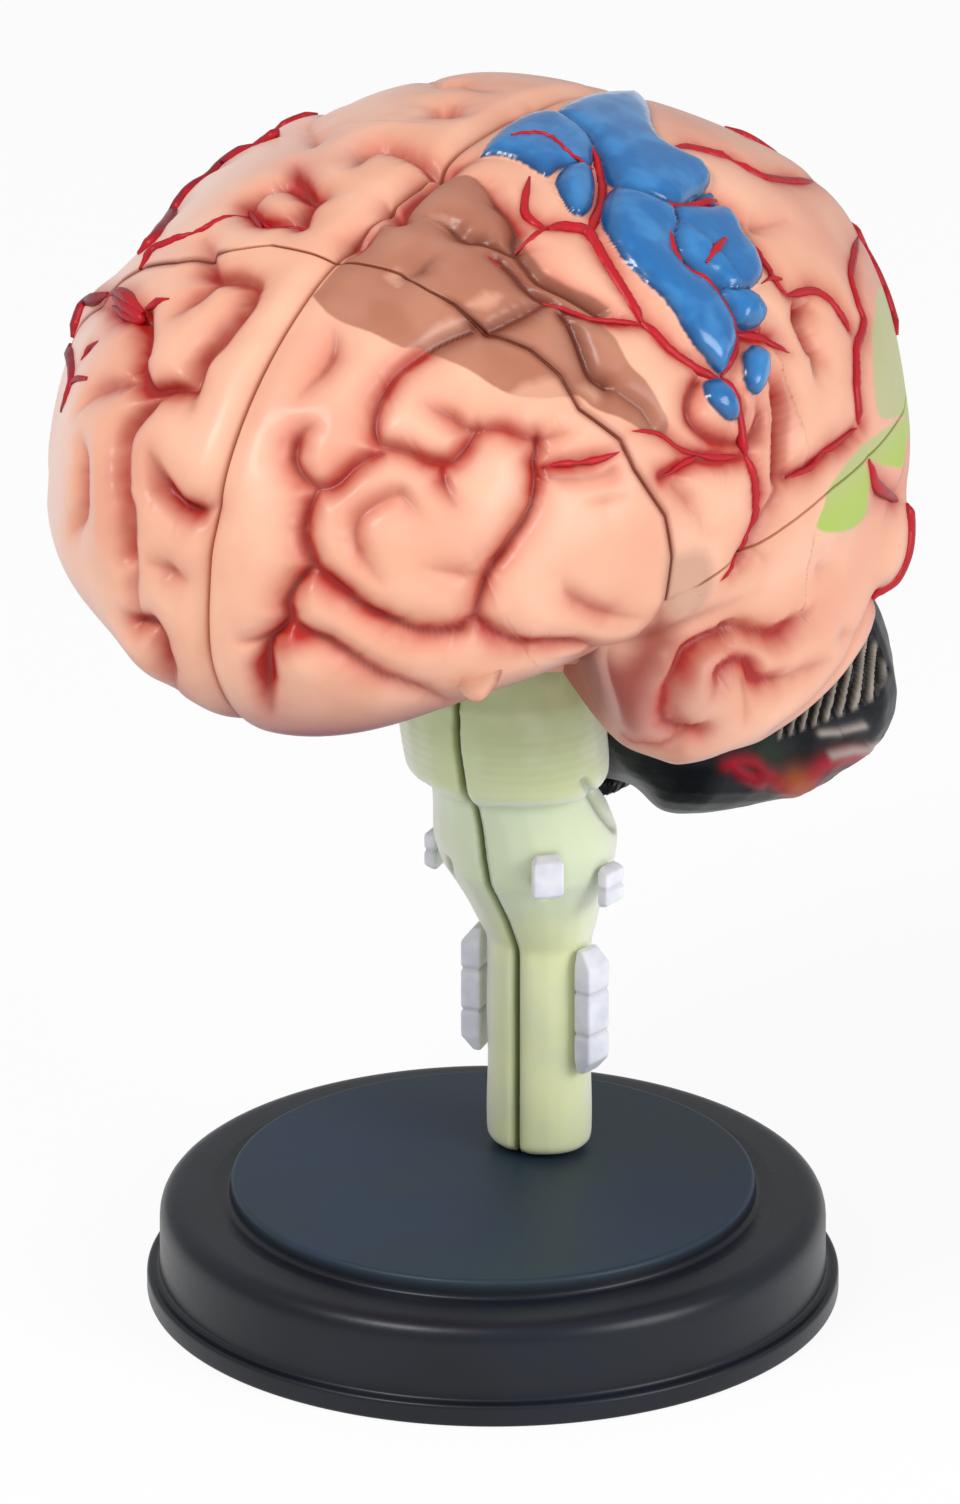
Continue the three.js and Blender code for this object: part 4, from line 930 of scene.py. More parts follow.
def outward(points, faces):
    """The faces turned so that the closed body faces out."""
    volume = 0.0
    for face in faces:
        a = points[face[0]]
        for i in range(1, len(face) - 1):
            volume += a @ np.cross(points[face[i]], points[face[i + 1]])
    return faces if volume > 0 else [face[::-1] for face in faces]


# Lobes, with lengths in millimetres

POLE_SWELLING = 5.6
POLE_ROUNDS = 170
POLE_SOFTNESS = 8
POLE_REACH = (0.5, 6.0)
POLE_ROWS = (0.02, 0.07, 0.15, 0.25, 0.37, 0.5, 0.63, 0.75, 0.85, 0.93, 0.98)
WALL_ROWS = (0.25, 0.5, 0.75)
INNER_RINGS = (0, 0.12, 0.25, 0.4, 0.55, 0.7, 0.85, 1)
RIM_WIDTH = 1.2
RIM_RINGS = np.array([0.75, 0.5, 0.32, 0.18, 0.07, 0])
SKIN_ROUNDS = 3
SMOOTHING = 0.6
STRONG_SEAM_WIDTH = 2.0
CUT_FLESH_SHARE = 0.2
PEG_LENGTH, PEG_ROOT, PEG_RADIUS = 7.0, 2.5, 1.5


@dataclass
class Lobe:
    """Border, peg direction and outline of a lobe of the left half.

    The cut side along the pole, a stretch of the border, is not flat but swells out.
    """

    border: list
    slide: np.ndarray
    outline: callable
    floor: float = None
    pole: list = None


def make_lobes(brain):
    """The lobes of the left half, with the stem's window and the cerebellum's bed cut out."""
    frontal_seam = brain.from_drawing(FRONTAL_SEAM)
    frontal_seam[0] = unit(frontal_seam[0] * [0, 1, 1])
    temporal_seam = brain.from_drawing(TEMPORAL_SEAM)
    underside_seam = brain.from_drawing(FRONTAL_UNDERSIDE_SEAM)
    side_corner = direction(126, 2)
    back_corner = direction(150, 22)
    cerebellum_side = direction(122, -16)
    occipital_top = direction(180, 34)
    window_back = unit([0, 0.265, -FLOOR_SHARE])
    window_back_corner = unit([0.307, 0.265, -FLOOR_SHARE])
    window_side_corner = unit([0.307, -0.02, -0.714])
    window_front_corner = unit([0.205, -0.15, -0.714])
    window_front = unit([0, -0.17, -0.714])
    cerebellum_corner = unit([0.76, 0.24, -FLOOR_SHARE])
    lobe_corner = frontal_seam[-1]
    return {
        "frontal": Lobe(
            [*frontal_seam, *underside_seam, window_side_corner, window_front_corner,
             window_front, direction(0, -30), direction(0, 0), direction(0, 25)],
            direction(36, 12), cerebrum,
        ),
        "parietal": Lobe(
            [direction(180, 62), np.array([0.0, 0.0, 1.0]), *frontal_seam, *temporal_seam,
             side_corner, back_corner, occipital_top],
            direction(100, 42), cortex,
        ),
        "temporal": Lobe(
            [lobe_corner, *underside_seam, window_side_corner, window_back_corner,
             cerebellum_corner, cerebellum_side, side_corner, *temporal_seam[::-1]],
            direction(84, -7), cortex,
            pole=[lobe_corner, *underside_seam, window_side_corner],
        ),
        "occipital": Lobe(
            [occipital_top, back_corner, side_corner, cerebellum_side, cerebellum_corner,
             window_back_corner, window_back, direction(180, -25), direction(180, 5)],
            direction(148, 6), cortex, floor=FLOOR_SHARE,
        ),
    }


def lobe_reach(lobe, ways):
    """Distance along unit directions to a lobe's outside, in unit coordinates."""
    free = outline_radius(lobe.outline, ways)
    if lobe.floor:
        floor = np.where(ways[:, 2] < -1e-6, -lobe.floor / np.minimum(ways[:, 2], -1e-6), np.inf)
        return np.minimum(free, floor)
    return free


def evened(values, triangles, rounds):
    """A mesh's point values after rounds of averaging each with its neighbours."""
    ends = np.concatenate([triangles[:, [0, 1]], triangles[:, [1, 2]], triangles[:, [2, 0]]])
    near = np.maximum(np.bincount(ends[:, 0], minlength=len(values)), 1)
    for _ in range(rounds):
        total = np.bincount(ends[:, 0], values[ends[:, 1]], len(values))
        values = blend(values, total / near, SMOOTHING)
    return values


def softened(points, faces, share, rounds):
    """Points drawn towards the mean of their neighbours where a share is above 0."""
    starts = np.array([i for face in faces for i in face])
    ends = np.array([i for face in faces for i in (*face[1:], face[0])])
    near = np.flatnonzero(share > 0)
    place = np.full(len(points), -1)
    place[near] = np.arange(len(near))
    kept = place[starts] >= 0
    starts, ends = place[starts[kept]], ends[kept]
    count = np.bincount(starts, minlength=len(near))[:, None]
    weight = SMOOTHING * share[near][:, None]
    points = points.copy()
    for _ in range(rounds):
        found = points[ends]
        mean = np.stack([np.bincount(starts, found[:, k], len(near)) for k in range(3)], -1) / count
        points[near] = blend(points[near], mean, weight)
    return points


def ring_mean(values, reach):
    """Values along a closed line, each averaged with those up to a number of places away."""
    return sum(np.roll(values, shift, 0) for shift in range(-reach, reach + 1)) / (2 * reach + 1)


class LobeShape:
    """One lobe of either side: its folded skin, its cut sides and its inner wall."""

    def __init__(self, brain, lobe, side, seam_rounding):
        self.brain = brain
        self.lobe = lobe
        self.flip = np.array([side, 1, 1])
        self.seam_rounding = seam_rounding
        ways = np.array(lobe.border)
        corners = ways * lobe_reach(lobe, ways)[:, None] * brain.half_size
        spans = np.linalg.norm(np.roll(corners, -1, 0) - corners, axis=1)
        self.middle = lobe.slide * lobe_reach(lobe, lobe.slide[None])[0] * brain.half_size
        self.spread = np.linalg.norm(corners - self.middle, axis=1).mean()
        self.border_count = int(spans.sum() / brain.step)
        self.marks = np.concatenate([[0], np.cumsum(spans)]) / spans.sum()
        self.loop = np.vstack([ways, ways[:1]])

    def border_ways(self, count):
        shares = np.arange(count) / count
        return unit(np.stack([np.interp(shares, self.marks, self.loop[:, i]) for i in range(3)], -1))

    def disc(self, ring_shares, start):
        """Directions that fill the border ring by ring, their shares, faces and last ring."""
        rings, found, reached = [[start]], [self.lobe.slide[None]], [np.zeros(1)]
        at = start + 1
        for share in ring_shares[1:]:
            count = self.border_count if share == 1 else max(6, round(self.border_count * share))
            found.append(unit(blend(self.lobe.slide, self.border_ways(count), share)))
            reached.append(np.full(count, share))
            rings.append(list(range(at, at + count)))
            at += count
        faces = [f for inner, outer in zip(rings, rings[1:]) for f in join_rings(inner, outer)]
        return np.vstack(found), np.concatenate(reached), faces, rings[-1]

    def skin_rings(self):
        """Even rings, and closer ones where the lobe's edge is rounded."""
        rim = RIM_WIDTH / self.spread
        return [*np.linspace(0, 1 - rim, int(self.spread / self.brain.step)), *(1 - rim * RIM_RINGS)]

    def pole_shares(self, points):
        """1 at the lobe's pole, fading to 0 away from it."""
        if self.lobe.pole is None:
            return np.zeros(len(points))
        pole = np.vstack([blend(a, b, np.linspace(0, 1, 12)[:, None])
                          for a, b in zip(self.lobe.pole, self.lobe.pole[1:])])
        stretch = self.brain.surface(unit(pole)) * self.flip
        return 1 - smooth_step(segment_distance(points, stretch), *POLE_REACH)

    def skin(self, ways, reached, faces):
        """Points of the folded outside, their paint, halo and line, and their pole shares."""
        brain = self.brain
        points = ways * lobe_reach(self.lobe, ways)[:, None] * brain.half_size * self.flip
        sink, halo, line = brain.relief(points)
        sink = evened(sink, np.array(faces), SKIN_ROUNDS)
        paint = brain.paint(points)
        if self.flip[0] < 0:
            bare = np.full(len(points), -PAINT_REACH)
            paint = {name: values if name == "red" else bare for name, values in paint.items()}
        sink = sink - brain.swelling(paint["lump"])
        to_border = (1 - reached) * self.spread
        at_pole = self.pole_shares(points)
        inner_share = np.clip(1 - to_border / self.seam_rounding, 0, 1)
        sink += self.seam_rounding * (1 - np.sqrt(1 - inner_share**2)) * (1 - at_pole)
        midline = np.clip(1 - np.abs(points[:, 0]) / brain.fissure_reach, 0, 1)
        sink += brain.fissure_depth * midline**2
        to_strong_seam = segment_distance(points * self.flip, brain.strong_seam)
        strong = soft_spot(to_strong_seam, STRONG_SEAM_WIDTH)
        # Painted shade: a dark line along the lobe's border, strongest near the front seam
        painted_seam_shade = (0.12 + 0.85 * strong) * (1 - at_pole)
        line = np.maximum(line, painted_seam_shade * soft_spot(to_border, 0.4 + 0.4 * strong))
        lengths = np.linalg.norm(points, axis=1)
        points *= ((lengths - sink) / lengths)[:, None]
        return points, paint, halo, line, at_pole

    def side_normals(self, rim):
        """Directions square to the cut sides, evened along the rim."""
        tangent = np.roll(rim, -3, 0) - np.roll(rim, 3, 0)
        normal = unit(np.cross(tangent, rim))
        normal *= np.sign(((rim - self.middle * self.flip) * normal).sum(1).mean())
        normal = unit(ring_mean(normal, POLE_SOFTNESS)) * self.flip
        normal[:, 0] = np.maximum(normal[:, 0], -0.5)
        return unit(normal) * self.flip

    def cut_sides(self, rim, ways, near_pole):
        """Rows of points from the rim in to where other lobes start, and on to the inner wall.

        Each row comes with its share of the lobe's own colour, and the rest is bare wall.
        """
        foot = ways * self.flip * CAVITY_SHARE * self.brain.half_size
        free = np.full(len(rim), CUT_FLESH_SHARE)
        if self.lobe.pole is not None:
            reach = lobe_reach(self.lobe, ways)
            inner_reach = outline_radius(cerebrum, ways)
            free = np.clip((reach - inner_reach) / (reach - CAVITY_SHARE), 0.05, 0.8)
        normal = self.side_normals(rim)
        rows, flesh = [], []
        for t in POLE_ROWS:
            swell = POLE_SWELLING * near_pole * math.sqrt(1 - (2 * t - 1) ** 2)
            rows.append(blend(rim, foot, (free * t)[:, None]) + swell[:, None] * normal)
            flesh.append(near_pole * min(1, 0.25 + 1.5 * t))
        for t in WALL_ROWS:
            rows.append(blend(rim, foot, blend(free, 1, t)[:, None]))
            flesh.append(np.zeros(len(rim)))
        return rows, flesh

    def build(self):
        """The lobe's points, faces and attributes."""
        ways, reached, faces, outer_ring = self.disc(self.skin_rings(), 0)
        skin, paint, halo, line, at_pole = self.skin(ways, reached, faces)
        near_pole = at_pole[outer_ring]
        side_rows, flesh_rows = self.cut_sides(skin[outer_ring], ways[outer_ring], near_pole)
        count = self.border_count
        rings = [outer_ring]
        at = len(skin)
        for _ in side_rows:
            rings.append(list(range(at, at + count)))
            at += count
        inner_ways, _, inner_faces, inner_ring = self.disc(INNER_RINGS, at)
        inner_wall = inner_ways * self.flip * CAVITY_SHARE * self.brain.half_size
        rings.append(inner_ring)
        faces += [face[::-1] for face in inner_faces]
        for upper, lower in zip(rings, rings[1:]):
            for i in range(count):
                j = (i + 1) % count
                faces.append((upper[j], upper[i], lower[i], lower[j]))
        points = np.vstack([skin, *side_rows, inner_wall])
        if self.lobe.pole is not None:
            soft = np.concatenate([at_pole, *[near_pole] * len(POLE_ROWS)])
            soft = np.pad(soft, (0, len(points) - len(soft)))
            points = softened(points, faces, soft, POLE_ROUNDS)
        flesh = np.concatenate([*flesh_rows, np.zeros(len(inner_wall))])
        return points, outward(points, faces), lobe_attributes(paint, halo, line, flesh)


def lobe_attributes(paint, halo, line, flesh):
    """The skin's paint, and none on the sides and the wall, apart from the flesh at the pole."""
    none = np.zeros(len(flesh))
    layers = {name: np.concatenate([values, none - PAINT_REACH]) for name, values in paint.items()}
    shaded = PAINT_REACH * (2 * flesh - 1)
    layers["shadow"][len(halo):] = np.where(flesh > 0, shaded, -PAINT_REACH)
    layers["halo"] = np.concatenate([halo, none])
    layers["line"] = np.concatenate([line, none])
    bare = 1 - smooth_step(flesh, 0, 0.2)
    layers["wall"] = np.concatenate([np.zeros(len(halo)), bare])
    return layers


def place_lobe(brain, lobe, side, points, gap):
    """Points of a lobe moved out along its peg by a gap, and to the brain's place."""
    shift = unit(lobe.slide * [side, 1, 1] * brain.half_size) * gap
    return points + shift + brain.centre


def lobe_peg(brain, lobe, side):
    """Points and faces of the peg on a lobe's inner wall, from the core into the lobe."""
    slide = lobe.slide * [side, 1, 1] * brain.half_size
    way = unit(slide)
    start = slide * CAVITY_SHARE + PEG_ROOT * way
    return rod(start - PEG_LENGTH * way, start, PEG_RADIUS)


def lobe_owner(lobes, ways, side):
    """The lobe that each direction crosses."""
    left = ways * np.stack([side, np.ones(len(side)), np.ones(len(side))], -1)
    best = np.full(len(ways), -np.inf)
    owner = np.array(["frontal"] * len(ways), dtype=object)
    for name, lobe in lobes.items():
        across = unit(np.cross(lobe.slide, [0.2, 0.1, 0.9]))
        upward = np.cross(lobe.slide, across)

        def polar(vectors):
            angle = np.arctan2(vectors @ upward, vectors @ across)
            return angle, np.arccos(np.clip(vectors @ lobe.slide, -1, 1))

        loop = np.vstack([lobe.border, lobe.border[:1]])
        dense = unit(np.vstack([
            blend(a, b, t) for a, b in zip(loop, loop[1:]) for t in np.linspace(0, 1, 24, False)
        ]))
        border_angle, border_reach = polar(dense)
        order = np.argsort(border_angle)
        angle, reach = polar(left)
        limit = np.interp(angle, border_angle[order], border_reach[order], period=2 * math.pi)
        inside = limit - reach
        better = inside > best
        best = np.where(better, inside, best)
        owner[better] = name
    return owner


# Pieces that take their shape from the CAD nodes

def moulded(node, spacing, rounds):
    """A CAD node's shape as an even, fine mesh whose facets and edges are rounded off."""
    mesh = frame["nodes"][node].data.copy()
    holder = bpy.data.objects.new("moulding", mesh)
    bpy.context.scene.collection.objects.link(holder)
    even = holder.modifiers.new("Even mesh", "REMESH")
    even.mode = "VOXEL"
    even.voxel_size = spacing * MM
    soft = holder.modifiers.new("Rounding", "SMOOTH")
    soft.iterations = rounds
    evaluated = holder.evaluated_get(bpy.context.evaluated_depsgraph_get())
    result = bpy.data.meshes.new_from_object(evaluated)
    bpy.data.objects.remove(holder)
    bpy.data.meshes.remove(mesh)
    result.shade_smooth()
    return result


def carved(mesh, origin, form):
    """Moves a mesh's points along their normals and paints them.

    The form takes points and normals in millimetres, both turned to the left side, and gives the
    rise of each point and its paint.
    """
    count = 3 * len(mesh.vertices)
    places, normals = np.empty(count, np.float32), np.empty(count, np.float32)
    mesh.vertices.foreach_get("co", places)
    mesh.vertex_normals.foreach_get("vector", normals)
    points = places.reshape(-1, 3) / MM - origin
    normals = normals.reshape(-1, 3)
    flip = np.array([1 if points[:, 0].mean() > 0 else -1, 1, 1])
    rise, paint = form(points * flip, normals * flip)
    mesh.vertices.foreach_set("co", ((points + rise[:, None] * normals + origin) * MM).ravel())
    set_attributes(mesh, paint)
    mesh.update()
    return mesh


def pixel_distance(pixels, line):
    """Distance in millimetres, as seen in the drawing, to a line drawn in it."""
    return segment_distance(pixels, np.asarray(line, float)) * PIXEL


def strokes(pixels, lines, width):
    """1 on the lines of the drawing, and fading beside them."""
    return np.max([soft_spot(pixel_distance(pixels, line), width) for line in lines], axis=0)


def ripple(values, pitch):
    """Waves from 0 to 1 along values, a pitch apart."""
    return 0.5 + 0.5 * np.cos(2 * math.pi * (values / pitch))


DASH_WIDTH = 0.4
RED_WIDTH = 0.8
RIB_PITCH = 1.7


def cerebellum_form(brain):
    """Comb ridges under the lobes, raised painted lines, and level furrows behind."""
    def form(points, normals):
        facing = normals @ brain.towards
        seen = smooth_step(facing, 0.0, 0.15)
        outside = 1 - smooth_step(-normals[:, 0], 0.5, 0.75)
        pixels = brain.to_drawing(points)
        slanted = pixels[:, 0] + 0.25 * pixels[:, 1]
        tooth = smooth_step(np.cos(2 * math.pi * slanted / COMB_PITCH), -0.5, 0.7)
        inside = depth_inside(pixels, np.array(CEREBELLUM_COMB, float)) * PIXEL
        band = smooth_step(inside, -0.1, 0.5) * outside * seen
        red = strokes(pixels, [smooth_line(line, 5) for line in CEREBELLUM_RED], RED_WIDTH) * seen
        dash = strokes(pixels, CEREBELLUM_DASHES, DASH_WIDTH) * seen
        spots = {
            name: seen * soft_spot(np.linalg.norm(pixels - middle, axis=1), radius)
            for name, (middle, radius) in CEREBELLUM_SPOTS.items()
        }
        behind = (1 - smooth_step(facing, -0.35, 0.1)) * outside
        wave = 0.35 * np.sin(0.28 * points[:, 0] + 0.1 * points[:, 1])
        furrow = ripple(points[:, 2] + RIB_PITCH * wave, RIB_PITCH)
        rise = np.zeros(len(points))
        for height, width, line in CEREBELLUM_RISES:
            rise += height * soft_spot(pixel_distance(pixels, line), width)
        rise *= outside
        rise += 0.35 * red + 0.22 * dash - 0.7 * band * (1 - tooth) - 0.35 * behind * furrow**3
        # Painted highlights on the comb's teeth and the dashes, and painted shade in the comb's gaps
        paint = {"comb": band * tooth, "gap": band * (1 - tooth), "red": red, "dash": dash, **spots}
        return rise, paint
    return form


# Heights on the stem from the brain's centre, and widths of its lines, in millimetres

STEP_HEIGHTS = (-44.4, -43.4)
RIDGE_HEIGHT = -44.6
FURROWS_FROM, FURROWS_TO = (-42, -40), (-34.5, -33)
FURROW_PITCH = 1.25
STEP_FADES = (-36, -30)
SEAM_WIDTH = 0.6
SEAM_GAP_REACH = 3.0
STROKE_WIDTH = 0.5


def stem_form(brain):
    """The seam's rounded edges, the step under the upper part, and level furrows across it."""
    def form(points, normals):
        outside = 1 - smooth_step(-normals[:, 0], 0.4, 0.7)
        height = points[:, 2]
        pixels = brain.to_drawing(points)
        seen = smooth_step(normals @ brain.towards, 0.0, 0.2)
        step = smooth_step(height + 0.9 * np.cos(0.5 * points[:, 0]), *STEP_HEIGHTS)
        ridge = soft_spot(height - RIDGE_HEIGHT, 0.8)
        window = smooth_step(height, *FURROWS_FROM) * (1 - smooth_step(height, *FURROWS_TO))
        window *= smooth_step(points[:, 0], 1.5, 3.5)
        furrow = ripple(height, FURROW_PITCH) * window
        lines = [smooth_line(line, 5) for line in STEM_STROKES]
        stroke = strokes(pixels, lines, STROKE_WIDTH) * seen
        wave = 0.12 * np.sin(0.3 * height + 1) * np.sin(0.4 * points[:, 0] + 0.2 * height)
        rise = outside * (0.5 * step * (1 - smooth_step(height, *STEP_FADES)) + wave
                          - 0.02 * furrow - 0.25 * ridge - 0.6 * stroke)
        rise -= 0.3 * soft_spot(points[:, 0], 0.75) * outside
        # The strokes and the groove at the foot of the step are painted dark as shade
        return rise, {"seam": seam_shade(points, outside),
                      "stroke": stroke + 0.4 * ridge * outside, "furrow": furrow * outside}
    return form


def seam_shade(points, outside):
    """Shade along the stem's seam that reaches a little way into the gap between its halves."""
    seam = soft_spot(points[:, 0], SEAM_WIDTH)
    on_skin = outside > 0.5
    skin = KDTree(int(on_skin.sum()))
    for index in np.flatnonzero(on_skin):
        skin.insert(points[index], int(index))
    skin.balance()
    for index in np.flatnonzero(~on_skin):
        seam[index] *= soft_spot(skin.find(points[index])[2], SEAM_GAP_REACH)
    return seam


def nerve_form(low, high, cuts):
    """Shallow cuts across a nerve piece at even heights between its ends."""
    def form(points, normals):
        cut = np.zeros(len(points))
        for i in range(cuts):
            level = blend(low, high, (i + 1) / (cuts + 1))
            cut = np.maximum(cut, soft_spot(points[:, 2] - level, 0.28))
        return -0.22 * cut, {"cut": cut}
    return form


def plain_form(points, normals):
    """The slight waves of a casting."""
    wave = np.sin(0.8 * points[:, 0] + 1) * np.sin(0.7 * points[:, 1]) * np.sin(0.9 * points[:, 2])
    return 0.12 * wave, {"tone": 0.5 + 0.5 * wave}


# Base

BASE_SIDES = 192
SHOULDER_SETBACK = 1.5
RIDGE_DROP = 2.2
POST_SINK = 1.5


def rounded_profile(corners, steps):
    """A line through corners, each given as its radius from the axis, height and rounding."""
    places = [np.array(corner[:2], float) for corner in corners]
    run = [places[0]]
    for i in range(1, len(corners) - 1):
        before, here, after = places[i - 1], places[i], places[i + 1]
        rounding = corners[i][2]
        back, ahead = unit(before - here), unit(after - here)
        half = math.acos(np.clip(back @ ahead, -1, 1)) / 2
        reach = min(rounding / math.tan(half), 0.49 * np.linalg.norm(before - here),
                    0.49 * np.linalg.norm(after - here))
        start, end = here + reach * back, here + reach * ahead
        for t in np.linspace(0, 1, steps):
            run.append(blend(blend(start, here, t), blend(here, end, t), t))
    return np.array([*run, places[-1]])


def turned(profile, sides):
    """A closed body turned about the vertical axis from a profile that starts and ends on it."""
    angles = np.linspace(0, 2 * math.pi, sides, endpoint=False)
    ring = np.stack([np.cos(angles), np.sin(angles), np.zeros(sides)], -1)
    rings = profile[1:-1]
    points = [[0, 0, profile[0][1]]]
    for radius, height in rings:
        points += list(ring * radius + [0, 0, height])
    points.append([0, 0, profile[-1][1]])
    faces = []
    for i in range(sides):
        j = (i + 1) % sides
        faces.append((0, 1 + i, 1 + j))
        last = 1 + (len(rings) - 1) * sides
        faces.append((len(points) - 1, last + j, last + i))
        for level in range(len(rings) - 1):
            low = 1 + level * sides
            faces.append((low + i, low + sides + i, low + sides + j, low + j))
    return np.array(points), faces


def base_profile(sizes):
    """The base's outline from the axis under it, round its flange, and back on its top face."""
    height, plateau = sizes.base_height / MM, sizes.plateau_radius / MM
    radius, flange = sizes.base_diameter / 2 / MM, sizes.flange_height / MM
    wall = sizes.base_wall / MM
    shoulder, ridge = radius - SHOULDER_SETBACK, height - RIDGE_DROP
    return rounded_profile([
        (0, height - wall, 0), (plateau - wall, height - wall, 1),
        (radius - 3.6 - wall, ridge - wall, 2), (shoulder - wall, flange, 1),
        (radius - wall, 0, 0.5), (radius, 0, 0.5), (radius, flange, 0.6),
        (shoulder, flange - 0.1, 0.7), (shoulder, ridge, 5.2), (plateau + 2.4, ridge + 0.1, 1.2),
        (plateau + 0.2, ridge - 0.1, 0.7), (plateau, height, 0.7), (0, height, 0),
    ], steps=9)


# Materials

# Shades that go with the colours above, among them painted sheen, reflection, highlights and shade
SHADES = {
    "lobe_rim": srgb(238, 216, 210), "wall": srgb(232, 170, 144), "wall_pale": srgb(244, 188, 160),
    "artery_worn": srgb(168, 28, 40), "artery_edge_shade": srgb(92, 10, 26), "artery_far_shade": srgb(98, 14, 40),
    "cerebellum_cloud": srgb(40, 43, 48), "cerebellum_edge": srgb(84, 88, 90),
    "cerebellum_comb": srgb(182, 172, 160), "cerebellum_gap": srgb(12, 11, 10),
    "cerebellum_red": srgb(168, 26, 44), "cerebellum_orange": srgb(178, 92, 40),
    "cerebellum_green": srgb(48, 70, 48), "cerebellum_dash": srgb(178, 168, 162),
    "stem_middle": srgb(214, 232, 208), "stem_cloud": srgb(222, 232, 204),
    "stem_edge_sheen": srgb(240, 243, 236), "stem_furrow": srgb(160, 176, 122),
    "stem_stroke_shade": srgb(128, 140, 116), "nerve_cloud": srgb(226, 230, 244),
    "nerve_edge_sheen": srgb(250, 254, 248), "nerve_cut": srgb(168, 174, 178), "base_cloud": srgb(22, 27, 38),
    "plateau_cloud": srgb(36, 52, 62),
}


class Term:
    """A number that varies over a surface. Arithmetic on it adds Math nodes."""

    def __init__(self, nodes, socket):
        self.nodes = nodes
        self.socket = socket

    def math(self, operation, *values):
        made = self.nodes.node("ShaderNodeMath", {"operation": operation}, dict(enumerate(values)))
        return Term(self.nodes, made.outputs[0])

    def __add__(self, other):
        return self.math("ADD", self, other)

    __radd__ = __add__

    def __sub__(self, other):
        return self.math("SUBTRACT", self, other)

    def __rsub__(self, other):
        return self.math("SUBTRACT", other, self)

    def __mul__(self, other):
        return self.math("MULTIPLY", self, other)

    __rmul__ = __mul__

    def step(self, low, high):
        """0 below low, 1 above high, and smooth between them. Low may be the larger."""
        made = self.nodes.node("ShaderNodeMapRange", {"interpolation_type": "SMOOTHSTEP"}, {
            "Value": self, "From Min": min(low, high), "From Max": max(low, high),
            "To Min": 0.0 if low < high else 1.0, "To Max": 1.0 if low < high else 0.0,
        })
        return Term(self.nodes, made.outputs[0])

    def at_most(self, other):
        return self.math("MINIMUM", self, other)

    def at_least(self, other):
        return self.math("MAXIMUM", self, other)


class Nodes:
    """A node tree that is filled by one method."""

    def __init__(self, tree):
        self.tree = tree
        self.tree.nodes.clear()

    def node(self, kind, settings=None, values=None):
        """A node of a type, with its settings, and the values or links of its sockets."""
        made = self.tree.nodes.new(kind)
        for key, value in (settings or {}).items():
            setattr(made, key, value)
        by_name = {socket.identifier: socket for socket in reversed(made.inputs)}
        for key, value in (values or {}).items():
            socket = made.inputs[key] if isinstance(key, int) else by_name[key]
            if isinstance(value, Term):
                value = value.socket
            if isinstance(value, bpy.types.NodeSocket):
                self.tree.links.new(value, socket)
            elif socket.type == "RGBA":
                socket.default_value = (*value[:3], 1)
            else:
                socket.default_value = value
        return made


class Finish(Nodes):
    """One material and the nodes that it is made of."""

    def __init__(self, name):
        self.material = bpy.data.materials.new(name)
        self.material.use_nodes = True
        super().__init__(self.material.node_tree)
        self.place = self.node("ShaderNodeTexCoord").outputs["Object"]

    def attribute(self, name):
        return Term(self, self.node("ShaderNodeAttribute", {"attribute_name": name}).outputs["Fac"])

    def coordinate(self, axis):
        """The place along an axis of the object, in metres."""
        parts = self.node("ShaderNodeSeparateXYZ", None, {"Vector": self.place})
        return Term(self, parts.outputs[axis])

    def noise(self, size, detail=2.0):
        """Noise from 0 to 1 whose features are about as large as the size, in metres."""
        made = self.node("ShaderNodeTexNoise", None, {
            "Vector": self.place, "Scale": 1 / size, "Detail": detail,
        })
        return Term(self, made.outputs["Fac"])

    def edge(self):
        """0 where the surface faces the eye, and 1 at its outline."""
        return Term(self, self.node("ShaderNodeLayerWeight", None, {"Blend": 0.5}).outputs["Facing"])

    def mix(self, share, a, b):
        made = self.node("ShaderNodeMix", {"data_type": "RGBA"}, {
            "Factor_Float": share, "A_Color": a, "B_Color": b,
        })
        return next(o for o in made.outputs if o.identifier == "Result_Color")

    def bump(self, height, distance, strength):
        """Fine relief of a height times a distance in metres, as the shader's normal."""
        made = self.node("ShaderNodeBump", None, {
            "Height": height, "Distance": distance, "Strength": strength,
        })
        return made.outputs["Normal"]

    def done(self, colour, roughness, normal, coat, **constants):
        """The finished material. Constants are named as the shader's sockets are."""
        shader = self.node("ShaderNodeBsdfPrincipled", None, {
            "Base Color": colour, "Roughness": roughness, "Normal": normal, "Coat Weight": coat,
            **{key.replace("_", " "): value for key, value in constants.items()},
        })
        self.node("ShaderNodeOutputMaterial", None, {"Surface": shader.outputs["BSDF"]})
        return self.material


